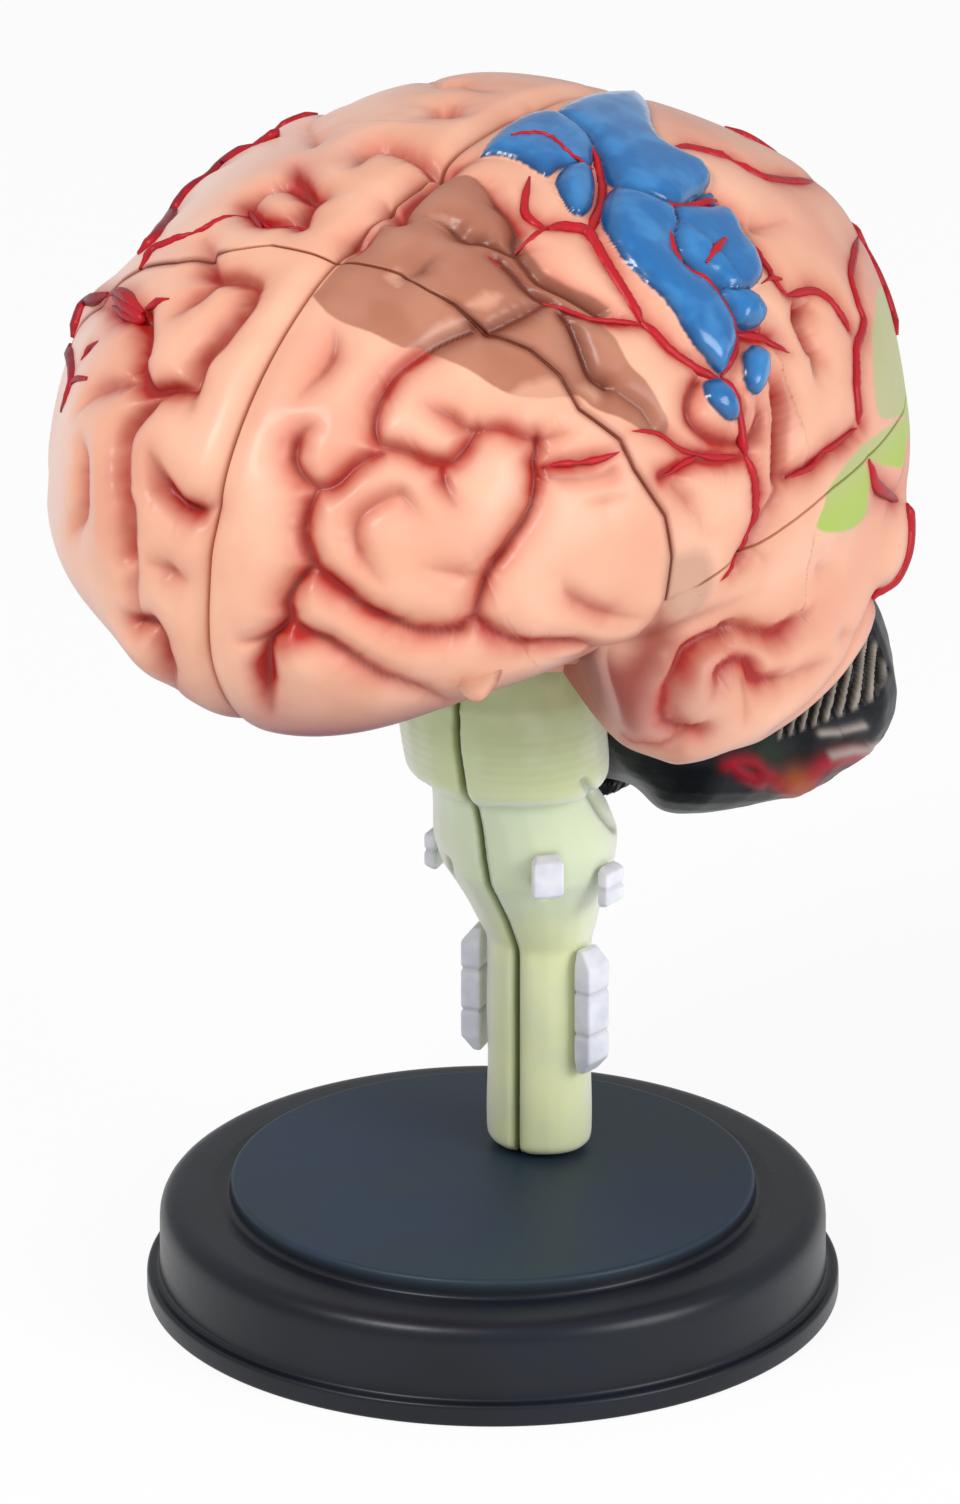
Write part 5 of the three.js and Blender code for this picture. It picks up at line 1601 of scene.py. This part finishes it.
def lobe_finish(colours):
    """Moulded flesh plastic with red sprayed in its grooves and glossy painted areas."""
    f = Finish("lobe_plastic")
    halo, line, wall = (f.attribute(name) for name in ("halo", "line", "wall"))
    patches = f.noise(0.011, 2.0)
    grain = f.noise(0.0016, 3.0)
    spray = f.noise(0.005, 2.0)
    ragged = (grain - 0.5) * 0.5
    base = f.mix(patches.step(0.35, 0.7), colours.flesh, colours.flesh_pale)
    blush = f.noise(0.018, 1.0).step(0.5, 0.75)
    base = f.mix(blush * 0.5, base, colours.blush)
    # Painted shade: the underside colour darkens the lower front of the brain
    low = f.coordinate(2).step(0.100, 0.088) * f.coordinate(1).step(-0.005, -0.03)
    base = f.mix(low * 0.95, base, colours.underside)
    # Painted shade at the left half's outline, and pale painted sheen at the right half's outline
    right = f.coordinate(0).step(-0.005, -0.03)
    base = f.mix(f.edge().step(0.6, 1.0) * (1 - right) * 0.4, base, colours.underside)
    base = f.mix(f.edge().step(0.35, 1.0) * right * 0.65, base, SHADES["lobe_rim"])
    mist = halo * (0.75 + 0.45 * spray.step(0.3, 0.7)) + f.attribute("red").step(-1.8, 1.8) * 0.6
    base = f.mix(mist.at_most(1.0), base, colours.groove_red)
    # Painted shade in the grooves' bottoms, along the lobes' seams and in the flap's crack
    base = f.mix(line * 0.7, base, colours.groove_dark)
    shadow = (f.attribute("shadow") + ragged).step(-2.5, 2.5) * 0.9
    base = f.mix(shadow, base, colours.shadow)
    grey = (f.attribute("grey") + ragged).step(-1.5, 1.0) * 0.6
    base = f.mix(grey, base, colours.grey)
    brown = (f.attribute("brown") + ragged * 0.5).step(-0.25, 0.2)
    # Pale painted highlights on the brown area, over pale patches of wear at random
    bare = (f.attribute("highlight_and_wear") + ragged * 2.0).step(-0.8, 0.8) * 0.5
    highlight_and_wear = f.mix((patches.step(0.4, 0.65) * 0.15).at_least(bare), colours.brown, colours.flesh_pale)
    # Painted shade in the brown area's creases, where the halo and the dark line fall
    creased = f.mix((halo * 0.5 + line * 0.7).at_most(1.0), highlight_and_wear, colours.brown_crease)
    base = f.mix(brown * 0.96, base, creased)
    green = (f.attribute("green") + ragged * 0.6).step(-0.3, 0.3)
    upper = f.coordinate(2).step(0.104, 0.112)
    base = f.mix(green * 0.92, base, f.mix(upper, colours.green, colours.green_pale))
    inside = f.attribute("blue")
    blue = (inside + ragged * 0.2).step(-0.12, 0.12)
    lump = f.attribute("lump")
    # Painted shade, darker towards the margins of each blue lump
    deep = (lump.step(1.6, 0.3) * 0.4 + lump.step(0.6, 0.0) * 0.5).at_most(0.9)
    lively = f.mix(f.noise(0.004, 2.0).step(0.35, 0.7), colours.blue, colours.blue_pale)
    base = f.mix(blue, base, f.mix(deep, lively, colours.blue_deep))
    base = f.mix(wall, base, f.mix(grain, SHADES["wall"], SHADES["wall_pale"]))
    roughness = 0.42 + 0.1 * grain - 0.22 * blue - 0.06 * brown + 0.12 * wall
    normal = f.bump(grain * 0.4 + patches, 0.00012, 0.4)
    return f.done(base, roughness, normal, coat=0.08 + 0.3 * blue, Coat_Roughness=0.12,
                  Specular_IOR_Level=0.35)


def artery_finish(colours):
    """Red paint, darker where it wears thin, with painted shade towards its outline."""
    f = Finish("artery_paint")
    wear = f.noise(0.0015, 3.0)
    tone = f.mix(wear.step(0.4, 0.8), colours.artery, SHADES["artery_worn"])
    # Painted shade towards the tubes' outline, and more of it on the right half
    edge = f.edge().step(0.35, 0.95) * 0.55
    tone = f.mix(edge, tone, SHADES["artery_edge_shade"])
    right = f.coordinate(0).step(-0.02, -0.036) * f.edge().step(0.0, 0.6) * 0.6
    tone = f.mix(right, tone, SHADES["artery_far_shade"])
    return f.done(tone, 0.38 + 0.15 * wear, f.bump(wear, 0.00008, 0.5), coat=0.06,
                  Coat_Roughness=0.15, Specular_IOR_Level=0.25)


def cerebellum_finish(colours):
    """Glossy dark paint, pale on the comb's teeth, with red lines and two coloured spots."""
    f = Finish("cerebellum_paint")
    cloud = f.noise(0.006, 2.0)
    grain = f.noise(0.0012, 3.0)
    base = f.mix(cloud.step(0.35, 0.7), colours.cerebellum, SHADES["cerebellum_cloud"])
    # Painted reflection: paler grey towards the outline
    base = f.mix(f.edge().step(0.5, 1.0) * 0.35, base, SHADES["cerebellum_edge"])
    # Painted highlights on the comb's teeth and the dashes, and painted shade in the comb's gaps
    comb = f.attribute("comb") * (cloud * 1.3).at_most(0.9)
    for name, share in (
        ("comb", comb),
        ("gap", f.attribute("gap")),
        ("red", f.attribute("red") * (0.6 + 0.5 * grain)),
        ("orange", f.attribute("orange") * 0.8),
        ("green", f.attribute("green") * 0.45),
        ("dash", f.attribute("dash") * 0.75),
    ):
        base = f.mix(share, base, SHADES["cerebellum_" + name])
    return f.done(base, 0.34 + 0.15 * grain, f.bump(grain + cloud, 0.00012, 0.5), coat=0.05,
                  Coat_Roughness=0.1, Specular_IOR_Level=0.12)


def stem_finish(colours):
    """Pale yellow-green plastic, whiter at its edges and greener towards the brain."""
    f = Finish("stem_plastic")
    cloud = f.noise(0.007, 2.0)
    grain = f.noise(0.0011, 2.0)
    height = f.coordinate(2)
    # Painted shade: darker and greener towards the brain above
    base = f.mix(height.step(0.052, 0.078), colours.stem, colours.stem_shade)
    middle = height.step(0.042, 0.050) * height.step(0.066, 0.060)
    base = f.mix(middle * 0.6, base, SHADES["stem_middle"])
    base = f.mix(cloud.step(0.4, 0.75) * 0.45, base, SHADES["stem_cloud"])
    # Painted sheen: whiter towards the outline
    base = f.mix(f.edge().step(0.3, 0.9) * 0.7, base, SHADES["stem_edge_sheen"])
    base = f.mix(f.attribute("furrow") * 0.12, base, SHADES["stem_furrow"])
    # Painted shade in the strokes and in the groove at the foot of the step
    base = f.mix(f.attribute("stroke").at_most(1.0) * 0.6, base, SHADES["stem_stroke_shade"])
    base = f.mix(f.attribute("seam").step(0.1, 0.9) * 0.75, base, colours.stem_seam)
    return f.done(base, 0.42 + 0.12 * grain, f.bump(cloud + grain * 0.3, 0.00015, 0.5), coat=0.15,
                  Coat_Roughness=0.2)


def nerve_finish(colours):
    """Milky plastic, bluish in the middle of a face and white at its edges."""
    f = Finish("nerve_plastic")
    cloud = f.noise(0.003, 2.0)
    base = f.mix(cloud.step(0.35, 0.7), colours.nerve, SHADES["nerve_cloud"])
    # Painted sheen: whiter towards the outline
    base = f.mix(f.edge().step(0.35, 0.9) * 0.5, base, SHADES["nerve_edge_sheen"])
    base = f.mix(f.attribute("cut") * 0.35, base, SHADES["nerve_cut"])
    return f.done(base, 0.36 + 0.1 * cloud, f.bump(cloud, 0.0001, 0.4), coat=0.2,
                  Coat_Roughness=0.2)


def core_finish(name, tone, dark):
    """Moulded plastic of an inner piece with faint streaks, darker where its slight waves rise."""
    f = Finish(name + "_plastic")
    cloud = f.noise(0.005, 2.0)
    grain = f.noise(0.0009, 3.0)
    base = f.mix(cloud.step(0.35, 0.7), tone, dark)
    base = f.mix(f.attribute("tone").step(0.3, 1.0) * 0.35, base, dark)
    return f.done(base, 0.4 + 0.15 * grain, f.bump(cloud + grain * 0.3, 0.00012, 0.5), coat=0.15,
                  Coat_Roughness=0.2)


def base_finish(colours):
    """Dark satin plastic, bluish on the top face, with a fine grain."""
    f = Finish("base_plastic")
    cloud = f.noise(0.02, 2.0)
    grain = f.noise(0.0007, 2.0)
    base = f.mix(cloud.step(0.35, 0.7), colours.base, SHADES["base_cloud"])
    # Painted reflection: the top face lighter and bluish
    face = f.coordinate(2).step(0.0126, 0.0138)
    top = f.mix(cloud.step(0.3, 0.7), colours.plateau, SHADES["plateau_cloud"])
    base = f.mix(face, base, top)
    return f.done(base, 0.34 + 0.08 * grain + 0.14 * face, f.bump(grain, 0.00003, 0.4), coat=0.08,
                  Coat_Roughness=0.25, Specular_IOR_Level=0.28)


# Geometry Nodes: tubes along curves

TUBE_SIDES = 8


def tube_tree(name):
    """Tubes along curves, as thick as each point's radius says, with closed ends."""
    tree = bpy.data.node_groups.new(name, "GeometryNodeTree")
    face = tree.interface
    face.new_socket("Geometry", in_out="INPUT", socket_type="NodeSocketGeometry")
    face.new_socket("Geometry", in_out="OUTPUT", socket_type="NodeSocketGeometry")
    radius = face.new_socket("Radius", in_out="INPUT", socket_type="NodeSocketFloat")
    radius.subtype = "DISTANCE"
    radius.default_value = 0.0005
    sides = face.new_socket("Sides", in_out="INPUT", socket_type="NodeSocketInt")
    sides.default_value = TUBE_SIDES
    face.new_socket("Material", in_out="INPUT", socket_type="NodeSocketMaterial")

    nodes = Nodes(tree)
    given = nodes.node("NodeGroupInput").outputs
    circle = nodes.node("GeometryNodeCurvePrimitiveCircle", None, {
        "Resolution": given["Sides"], "Radius": given["Radius"],
    })
    share = nodes.node("GeometryNodeInputRadius")
    tube = nodes.node("GeometryNodeCurveToMesh", None, {
        "Curve": given["Geometry"], "Profile Curve": circle.outputs["Curve"],
        "Scale": share.outputs["Radius"], "Fill Caps": True,
    })
    real = nodes.node("GeometryNodeRealizeInstances", None, {"Geometry": tube.outputs["Mesh"]})
    soft = nodes.node("GeometryNodeSetShadeSmooth", None, {"Geometry": real.outputs["Geometry"]})
    coated = nodes.node("GeometryNodeSetMaterial", None, {
        "Geometry": soft.outputs["Geometry"], "Material": given["Material"],
    })
    nodes.node("NodeGroupOutput", None, {0: coated.outputs["Geometry"]})
    return tree


def socket_id(tree, name):
    """What a modifier calls the input of that name."""
    return next(item.identifier for item in tree.interface.items_tree
                if item.name == name and item.in_out == "INPUT")


def tubes(name, runs, tree, radius, material, body):
    """One mesh piece of tubes along runs of points in millimetres with radius shares."""
    data = bpy.data.curves.new(name, "CURVE")
    data.dimensions = "3D"
    for points, shares in runs:
        spline = data.splines.new("POLY")
        spline.points.add(len(points) - 1)
        flat = np.column_stack([np.asarray(points) * MM, np.ones(len(points))])
        spline.points.foreach_set("co", flat.ravel())
        spline.points.foreach_set("radius", np.asarray(shares, float))
    source = bpy.data.objects.new(name + "_path", data)
    bpy.context.scene.collection.objects.link(source)
    modifier = source.modifiers.new("Tubes", "NODES")
    modifier.node_group = tree
    modifier[socket_id(tree, "Radius")] = radius
    modifier[socket_id(tree, "Sides")] = TUBE_SIDES
    modifier[socket_id(tree, "Material")] = material
    evaluated = source.evaluated_get(bpy.context.evaluated_depsgraph_get())
    mesh = bpy.data.meshes.new_from_object(evaluated)
    bpy.data.objects.remove(source)
    bpy.data.curves.remove(data)
    return finish_piece(name, mesh, body, [], material)


# Operators

BRAINS = {}


def brain_of(context):
    """The brain's shape for the sizes in the panel, worked out once for each set of sizes."""
    sizes = context.scene.brain_sizes
    key = tuple(getattr(sizes, name) for name in BrainSizes.__annotations__)
    if key not in BRAINS:
        BRAINS[key] = Brain(sizes)
    return BRAINS[key]


def set_piece(node, mesh, material):
    """A finished piece in the place of the CAD node of the same shape."""
    frame_body = next(body for body, nodes in frame["record"]["behaviour"]["bodies"].items()
                      if node in nodes)
    return finish_piece(node + "_form", mesh, frame_body, [node], material)


class BRAIN_OT_lobes(bpy.types.Operator):
    """Makes the eight painted lobes, each with its folds, cut sides, inner wall and peg"""

    bl_idname = "brain_model.lobes"
    bl_label = "Lobes"

    def execute(self, context):
        sizes = context.scene.brain_sizes
        brain = brain_of(context)
        finish = lobe_finish(context.scene.brain_colours)
        for name, lobe in make_lobes(brain).items():
            for side_name, side in SIDES.items():
                node = f"{name}_lobe_{side_name}"
                shape = LobeShape(brain, lobe, side, sizes.seam_rounding / MM)
                points, faces, attributes = shape.build()
                peg_points, peg_faces = lobe_peg(brain, lobe, side)
                points, faces = joined(
                    (points, faces), (peg_points, outward(peg_points, peg_faces))
                )
                for key, values in attributes.items():
                    on_peg = 1.0 if key == "wall" else -PAINT_REACH
                    attributes[key] = np.append(values, np.full(len(peg_points), on_peg))
                placed = place_lobe(brain, lobe, side, points, sizes.lobe_gap / MM)
                make_object(node + "_form", placed, faces, node, [node], "cortex", finish,
                            attributes)
        make_flap(brain, finish)
        return {"FINISHED"}


def make_flap(brain, finish):
    """The small flap that hangs at the lower edge of the left frontal lobe."""
    root = brain.on_surface(FLAP_ROOT)[0]
    normal = unit(brain.towards - 0.25 * brain.up)
    rim = smooth_line([*FLAP, FLAP[0]], 3)[:-1]
    flat = (rim - FLAP_MIDDLE) * PIXEL
    spread = flat[:, :1] * brain.right - flat[:, 1:] * brain.up
    rings = [root + share * spread + height * normal for share, height in FLAP_LAYERS]
    points = np.vstack([rings[0][:1], *rings[1:-1], rings[-1][:1]])
    count = len(rim)
    faces = loft_faces(len(rings) - 2, count, closed_ends=False)
    faces = [tuple(i + 1 for i in face) for face in faces]
    last = len(points) - 1
    for i in range(count):
        j = (i + 1) % count
        faces.append((0, 1 + j, 1 + i))
        faces.append((last, last - count + i, last - count + j))
    pixels = brain.to_drawing(points)
    # The crack is a dark line of painted shade
    crack = soft_spot(pixel_distance(pixels, FLAP_CRACK), 0.35)
    tip = smooth_step(pixels[:, 1], 696, 708)
    bare = {name: np.full(len(points), -PAINT_REACH) for name in (*AREAS, "lump")}
    attributes = {"halo": tip * 0.7, "line": crack, "wall": np.zeros(len(points)), **bare}
    make_object("frontal_flap", points + brain.centre, outward(points, faces),
                "frontal_lobe_left", [], "cortex", finish, attributes)


ARTERY_LIFT = 0.05
TIP_SHARE = 0.35
TIP_POINTS = 3
LEAST_RUN = 4


def laid_artery(brain, ways, mirrored):
    """The places that an artery passes on the folds, and whether each of them is shown."""
    places = brain.surface(ways)
    shown = np.ones(len(places), bool)
    sink, _, _ = brain.relief(places)
    if mirrored:
        shown = brain.facing(places) < SEEN_FROM[0]
    else:
        sink = sink - brain.swelling(brain.paint(places)["lump"])
    sink = np.convolve(np.pad(sink, 2, "edge"), np.ones(5) / 5, "valid")
    lengths = np.linalg.norm(places, axis=1)
    return places * ((lengths - sink + ARTERY_LIFT) / lengths)[:, None], shown


def split_runs(owner, side, shown):
    """Runs of indices of an artery that stay on one lobe and are shown."""
    runs, run = [], []
    for i in range(len(owner)):
        if shown[i] and run and owner[i] == owner[run[-1]] and side[i] == side[run[-1]]:
            run.append(i)
        else:
            runs.append(run)
            run = [i] if shown[i] else []
    return [np.array(run) for run in (*runs, run) if len(run) >= LEAST_RUN]


class BRAIN_OT_arteries(bpy.types.Operator):
    """Lays the arteries on the lobes, each stretch on the lobe that it crosses"""

    bl_idname = "brain_model.arteries"
    bl_label = "Arteries"

    def execute(self, context):
        sizes = context.scene.brain_sizes
        brain = brain_of(context)
        finish = artery_finish(context.scene.brain_colours)
        tree = tube_tree("Artery Tubes")
        lobes = make_lobes(brain)
        runs = {}
        for start, end, pixels in ARTERIES:
            drawn_ways = brain.from_drawing(smooth_line(pixels, 4))
            shares = np.linspace(start, end, len(drawn_ways))
            for mirror in SIDES.values():
                ways = drawn_ways * [mirror, 1, 1]
                places, shown = laid_artery(brain, ways, mirror < 0)
                side = np.where(ways[:, 0] >= 0, 1, -1)
                owner = lobe_owner(lobes, ways, side)
                for run in split_runs(owner, side, shown):
                    lobe_name, lobe_side = owner[run[0]], side[run[0]]
                    node = f"{lobe_name}_lobe_{'left' if lobe_side > 0 else 'right'}"
                    moved = place_lobe(brain, lobes[lobe_name], lobe_side, places[run],
                                       sizes.lobe_gap / MM)
                    order = np.arange(len(run))
                    from_tip = np.minimum(order, order[::-1])
                    fade = np.minimum(1, TIP_SHARE + (1 - TIP_SHARE) * from_tip / TIP_POINTS)
                    runs.setdefault(node, []).append((moved, shares[run] * fade))
        for node, found in runs.items():
            tubes("arteries_" + node, found, tree, sizes.artery_radius, finish, node)
        return {"FINISHED"}


class BRAIN_OT_cerebellum(bpy.types.Operator):
    """Makes both halves of the dark cerebellum with comb ridges, furrows and painted lines"""

    bl_idname = "brain_model.cerebellum"
    bl_label = "Cerebellum"

    def execute(self, context):
        brain = brain_of(context)
        finish = cerebellum_finish(context.scene.brain_colours)
        for side in SIDES:
            node = "cerebellum_" + side
            mesh = moulded(node, *MOULDING["cerebellum"])
            mesh = carved(mesh, brain.centre, cerebellum_form(brain))
            set_piece(node, mesh, finish)
        return {"FINISHED"}


class BRAIN_OT_stem(bpy.types.Operator):
    """Makes both halves of the brain stem, and the nerve pieces on it"""

    bl_idname = "brain_model.stem"
    bl_label = "Stem and Nerves"

    def execute(self, context):
        brain = brain_of(context)
        colours = context.scene.brain_colours
        plastic, milky = stem_finish(colours), nerve_finish(colours)
        for side in SIDES:
            node = "brainstem_" + side
            mesh = carved(moulded(node, *MOULDING["stem"]), brain.centre, stem_form(brain))
            set_piece(node, mesh, plastic)
        for node in sorted(frame["nodes"]):
            if node.startswith("nerve"):
                low, high = (corner.z / MM - brain.centre[2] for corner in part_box(node))
                cuts = next(count for kind, count in NERVE_CUTS.items() if kind in node)
                mesh = moulded(node, *MOULDING["nerve"])
                mesh = carved(mesh, brain.centre, nerve_form(low, high, cuts))
                set_piece(node, mesh, milky)
        return {"FINISHED"}


class BRAIN_OT_core(bpy.types.Operator):
    """Makes the inner pieces that show when the lobes are taken off"""

    bl_idname = "brain_model.core"
    bl_label = "Inner Pieces"

    def execute(self, context):
        brain = brain_of(context)
        for kind, slot, tone, dark in CORE_COLOURS:
            finish = core_finish(kind, srgb(*tone), srgb(*dark))
            for side in SIDES:
                node = f"{kind}_{side}"
                mesh = carved(moulded(node, *MOULDING["core"]), brain.centre, plain_form)
                set_piece(node, mesh, finish)
        return {"FINISHED"}


class BRAIN_OT_base(bpy.types.Operator):
    """Turns the round display base with its rounded shoulder and its post"""

    bl_idname = "brain_model.base"
    bl_label = "Display Base"

    def execute(self, context):
        sizes = context.scene.brain_sizes
        low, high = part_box("display_base")
        middle = np.array([(low.x + high.x) / 2, (low.y + high.y) / 2, 0]) / MM
        points, faces = turned(base_profile(sizes), BASE_SIDES)
        post_y = brain_of(context).centre[1] + sizes.stalk_setback / MM
        foot = np.array([0, post_y, sizes.base_height / MM - POST_SINK])
        post = rod(foot, foot + [0, 0, high.z / MM - foot[2]], sizes.post_radius / MM, 32, 0.5)
        body = joined((points + middle, outward(points, faces)), (post[0], outward(*post)))
        make_object("display_base_form", *body, "stand", ["display_base"], "base",
                    base_finish(context.scene.brain_colours))
        return {"FINISHED"}


# The lamps' places: to the right, towards the eye and up from what the camera looks at, in metres

KEY_PLACE = (-0.30, 0.32, 0.42)
KEY_SIZE = 0.22
FILL_PLACE = (0.5, 0.35, 0.12)
FILL_SIZE = 0.35
SENSOR_WIDTH = 36
FLOOR_REACH = 4.0
FLOOR_GLOW = 0.9
WORLD_LIGHT = 0.5
WHITE = (1, 1, 1)


class BRAIN_OT_stage(bpy.types.Operator):
    """Sets up the floor, the lamps, the world and the camera"""

    bl_idname = "brain_model.stage"
    bl_label = "Stage"

    def execute(self, context):
        settings = context.scene.stage_settings
        scene = context.scene
        scene.view_settings.view_transform = "Standard"
        brain = brain_of(context)
        make_floor()
        make_world(scene)
        right, towards, up = view_axes(
            math.degrees(settings.view_turn), math.degrees(settings.view_tilt)
        )
        offset = (IMAGE_SIZE / 2 - DRAWING_CENTRE) * PIXEL
        aim = (brain.centre + offset[0] * right - offset[1] * up) * MM
        camera = bpy.data.cameras.new("camera")
        camera.sensor_width = SENSOR_WIDTH
        camera.sensor_fit = "AUTO"
        camera.lens = SENSOR_WIDTH * settings.view_distance / (IMAGE_SIZE[1] * PIXEL * MM)
        camera.clip_end = 20
        holder = bpy.data.objects.new("camera", camera)
        scene.collection.objects.link(holder)
        look(holder, aim + towards * settings.view_distance, aim)
        scene.camera = holder
        axes = np.array([right, towards, [0, 0, 1]])
        make_lamp("key_lamp", aim + KEY_PLACE @ axes, aim, settings.key_power, KEY_SIZE)
        make_lamp("fill_lamp", aim + FILL_PLACE @ axes, aim, settings.fill_power, FILL_SIZE)
        return {"FINISHED"}


def look(holder, place, target):
    """Puts a camera or lamp at a place and turns it to a target."""
    gaze = Vector(target) - Vector(place)
    holder.location = Vector(place)
    holder.rotation_euler = gaze.to_track_quat("-Z", "Y").to_euler()


def make_lamp(name, place, target, power, size):
    lamp = bpy.data.lights.new(name, "AREA")
    lamp.shape = "DISK"
    lamp.size = size
    lamp.energy = power
    holder = bpy.data.objects.new(name, lamp)
    bpy.context.scene.collection.objects.link(holder)
    look(holder, place, target)


def make_floor():
    """A pale floor that shows white to the camera and keeps the model's shadow."""
    mesh = bpy.data.meshes.new("floor")
    reach = FLOOR_REACH
    corners = [(-reach, -reach, 0), (reach, -reach, 0), (reach, reach, 0), (-reach, reach, 0)]
    mesh.from_pydata(corners, [], [(0, 1, 2, 3)])
    floor = bpy.data.objects.new("floor", mesh)
    bpy.context.scene.collection.objects.link(floor)
    material = bpy.data.materials.new("floor_paper")
    material.use_nodes = True
    nodes = Nodes(material.node_tree)
    paper = nodes.node("ShaderNodeBsdfDiffuse", None, {"Color": (0.9, 0.9, 0.9)})
    glow = nodes.node("ShaderNodeEmission", None, {"Color": WHITE})
    path = nodes.node("ShaderNodeLightPath").outputs
    seen = Term(nodes, path["Is Camera Ray"]).at_least(path["Is Glossy Ray"])
    mix = nodes.node("ShaderNodeMixShader", None, {
        0: seen * FLOOR_GLOW, 1: paper.outputs[0], 2: glow.outputs[0],
    })
    nodes.node("ShaderNodeOutputMaterial", None, {"Surface": mix.outputs[0]})
    mesh.materials.append(material)


def make_world(scene):
    """Soft light from all sides, behind which the camera sees white."""
    world = bpy.data.worlds.new("studio")
    scene.world = world
    world.use_nodes = True
    nodes = Nodes(world.node_tree)
    soft = nodes.node("ShaderNodeBackground", None, {"Color": WHITE, "Strength": WORLD_LIGHT})
    white = nodes.node("ShaderNodeBackground", None, {"Color": WHITE, "Strength": 1.0})
    path = nodes.node("ShaderNodeLightPath").outputs
    mix = nodes.node("ShaderNodeMixShader", None, {
        0: path["Is Camera Ray"], 1: soft.outputs[0], 2: white.outputs[0],
    })
    nodes.node("ShaderNodeOutputWorld", None, {"Surface": mix.outputs[0]})


class BRAIN_PT_panel(bpy.types.Panel):
    """Sizes, colours and the steps that build the model"""

    bl_idname = "BRAIN_PT_panel"
    bl_label = "Brain Model"
    bl_space_type = "VIEW_3D"
    bl_region_type = "UI"
    bl_category = "Brain Model"

    def draw(self, context):
        layout = self.layout
        scene = context.scene
        for label, group in (
            ("Sizes", scene.brain_sizes),
            ("Colours", scene.brain_colours),
            ("Stage", scene.stage_settings),
        ):
            layout.label(text=label)
            for key in group.__annotations__:
                layout.prop(group, key)
        layout.label(text="Build")
        for step in STEPS:
            layout.operator(step.bl_idname)


STEPS = (
    BRAIN_OT_stage, BRAIN_OT_lobes, BRAIN_OT_arteries, BRAIN_OT_cerebellum, BRAIN_OT_stem,
    BRAIN_OT_core, BRAIN_OT_base,
)
GROUPS = {
    "brain_sizes": BrainSizes,
    "brain_colours": BrainColours,
    "stage_settings": StageSettings,
}


def register():
    for group in GROUPS.values():
        bpy.utils.register_class(group)
    for step in (*STEPS, BRAIN_PT_panel):
        bpy.utils.register_class(step)
    for key, group in GROUPS.items():
        setattr(bpy.types.Scene, key, bpy.props.PointerProperty(type=group))


def unregister():
    for key in GROUPS:
        delattr(bpy.types.Scene, key)
    for step in (BRAIN_PT_panel, *reversed(STEPS)):
        bpy.utils.unregister_class(step)
    for group in reversed(GROUPS.values()):
        bpy.utils.unregister_class(group)


def main():
    register()
    bpy.ops.brain_model.stage()
    bpy.ops.brain_model.lobes()
    bpy.ops.brain_model.arteries()
    bpy.ops.brain_model.cerebellum()
    bpy.ops.brain_model.stem()
    bpy.ops.brain_model.core()
    bpy.ops.brain_model.base()


if __name__ == "__main__":
    main()
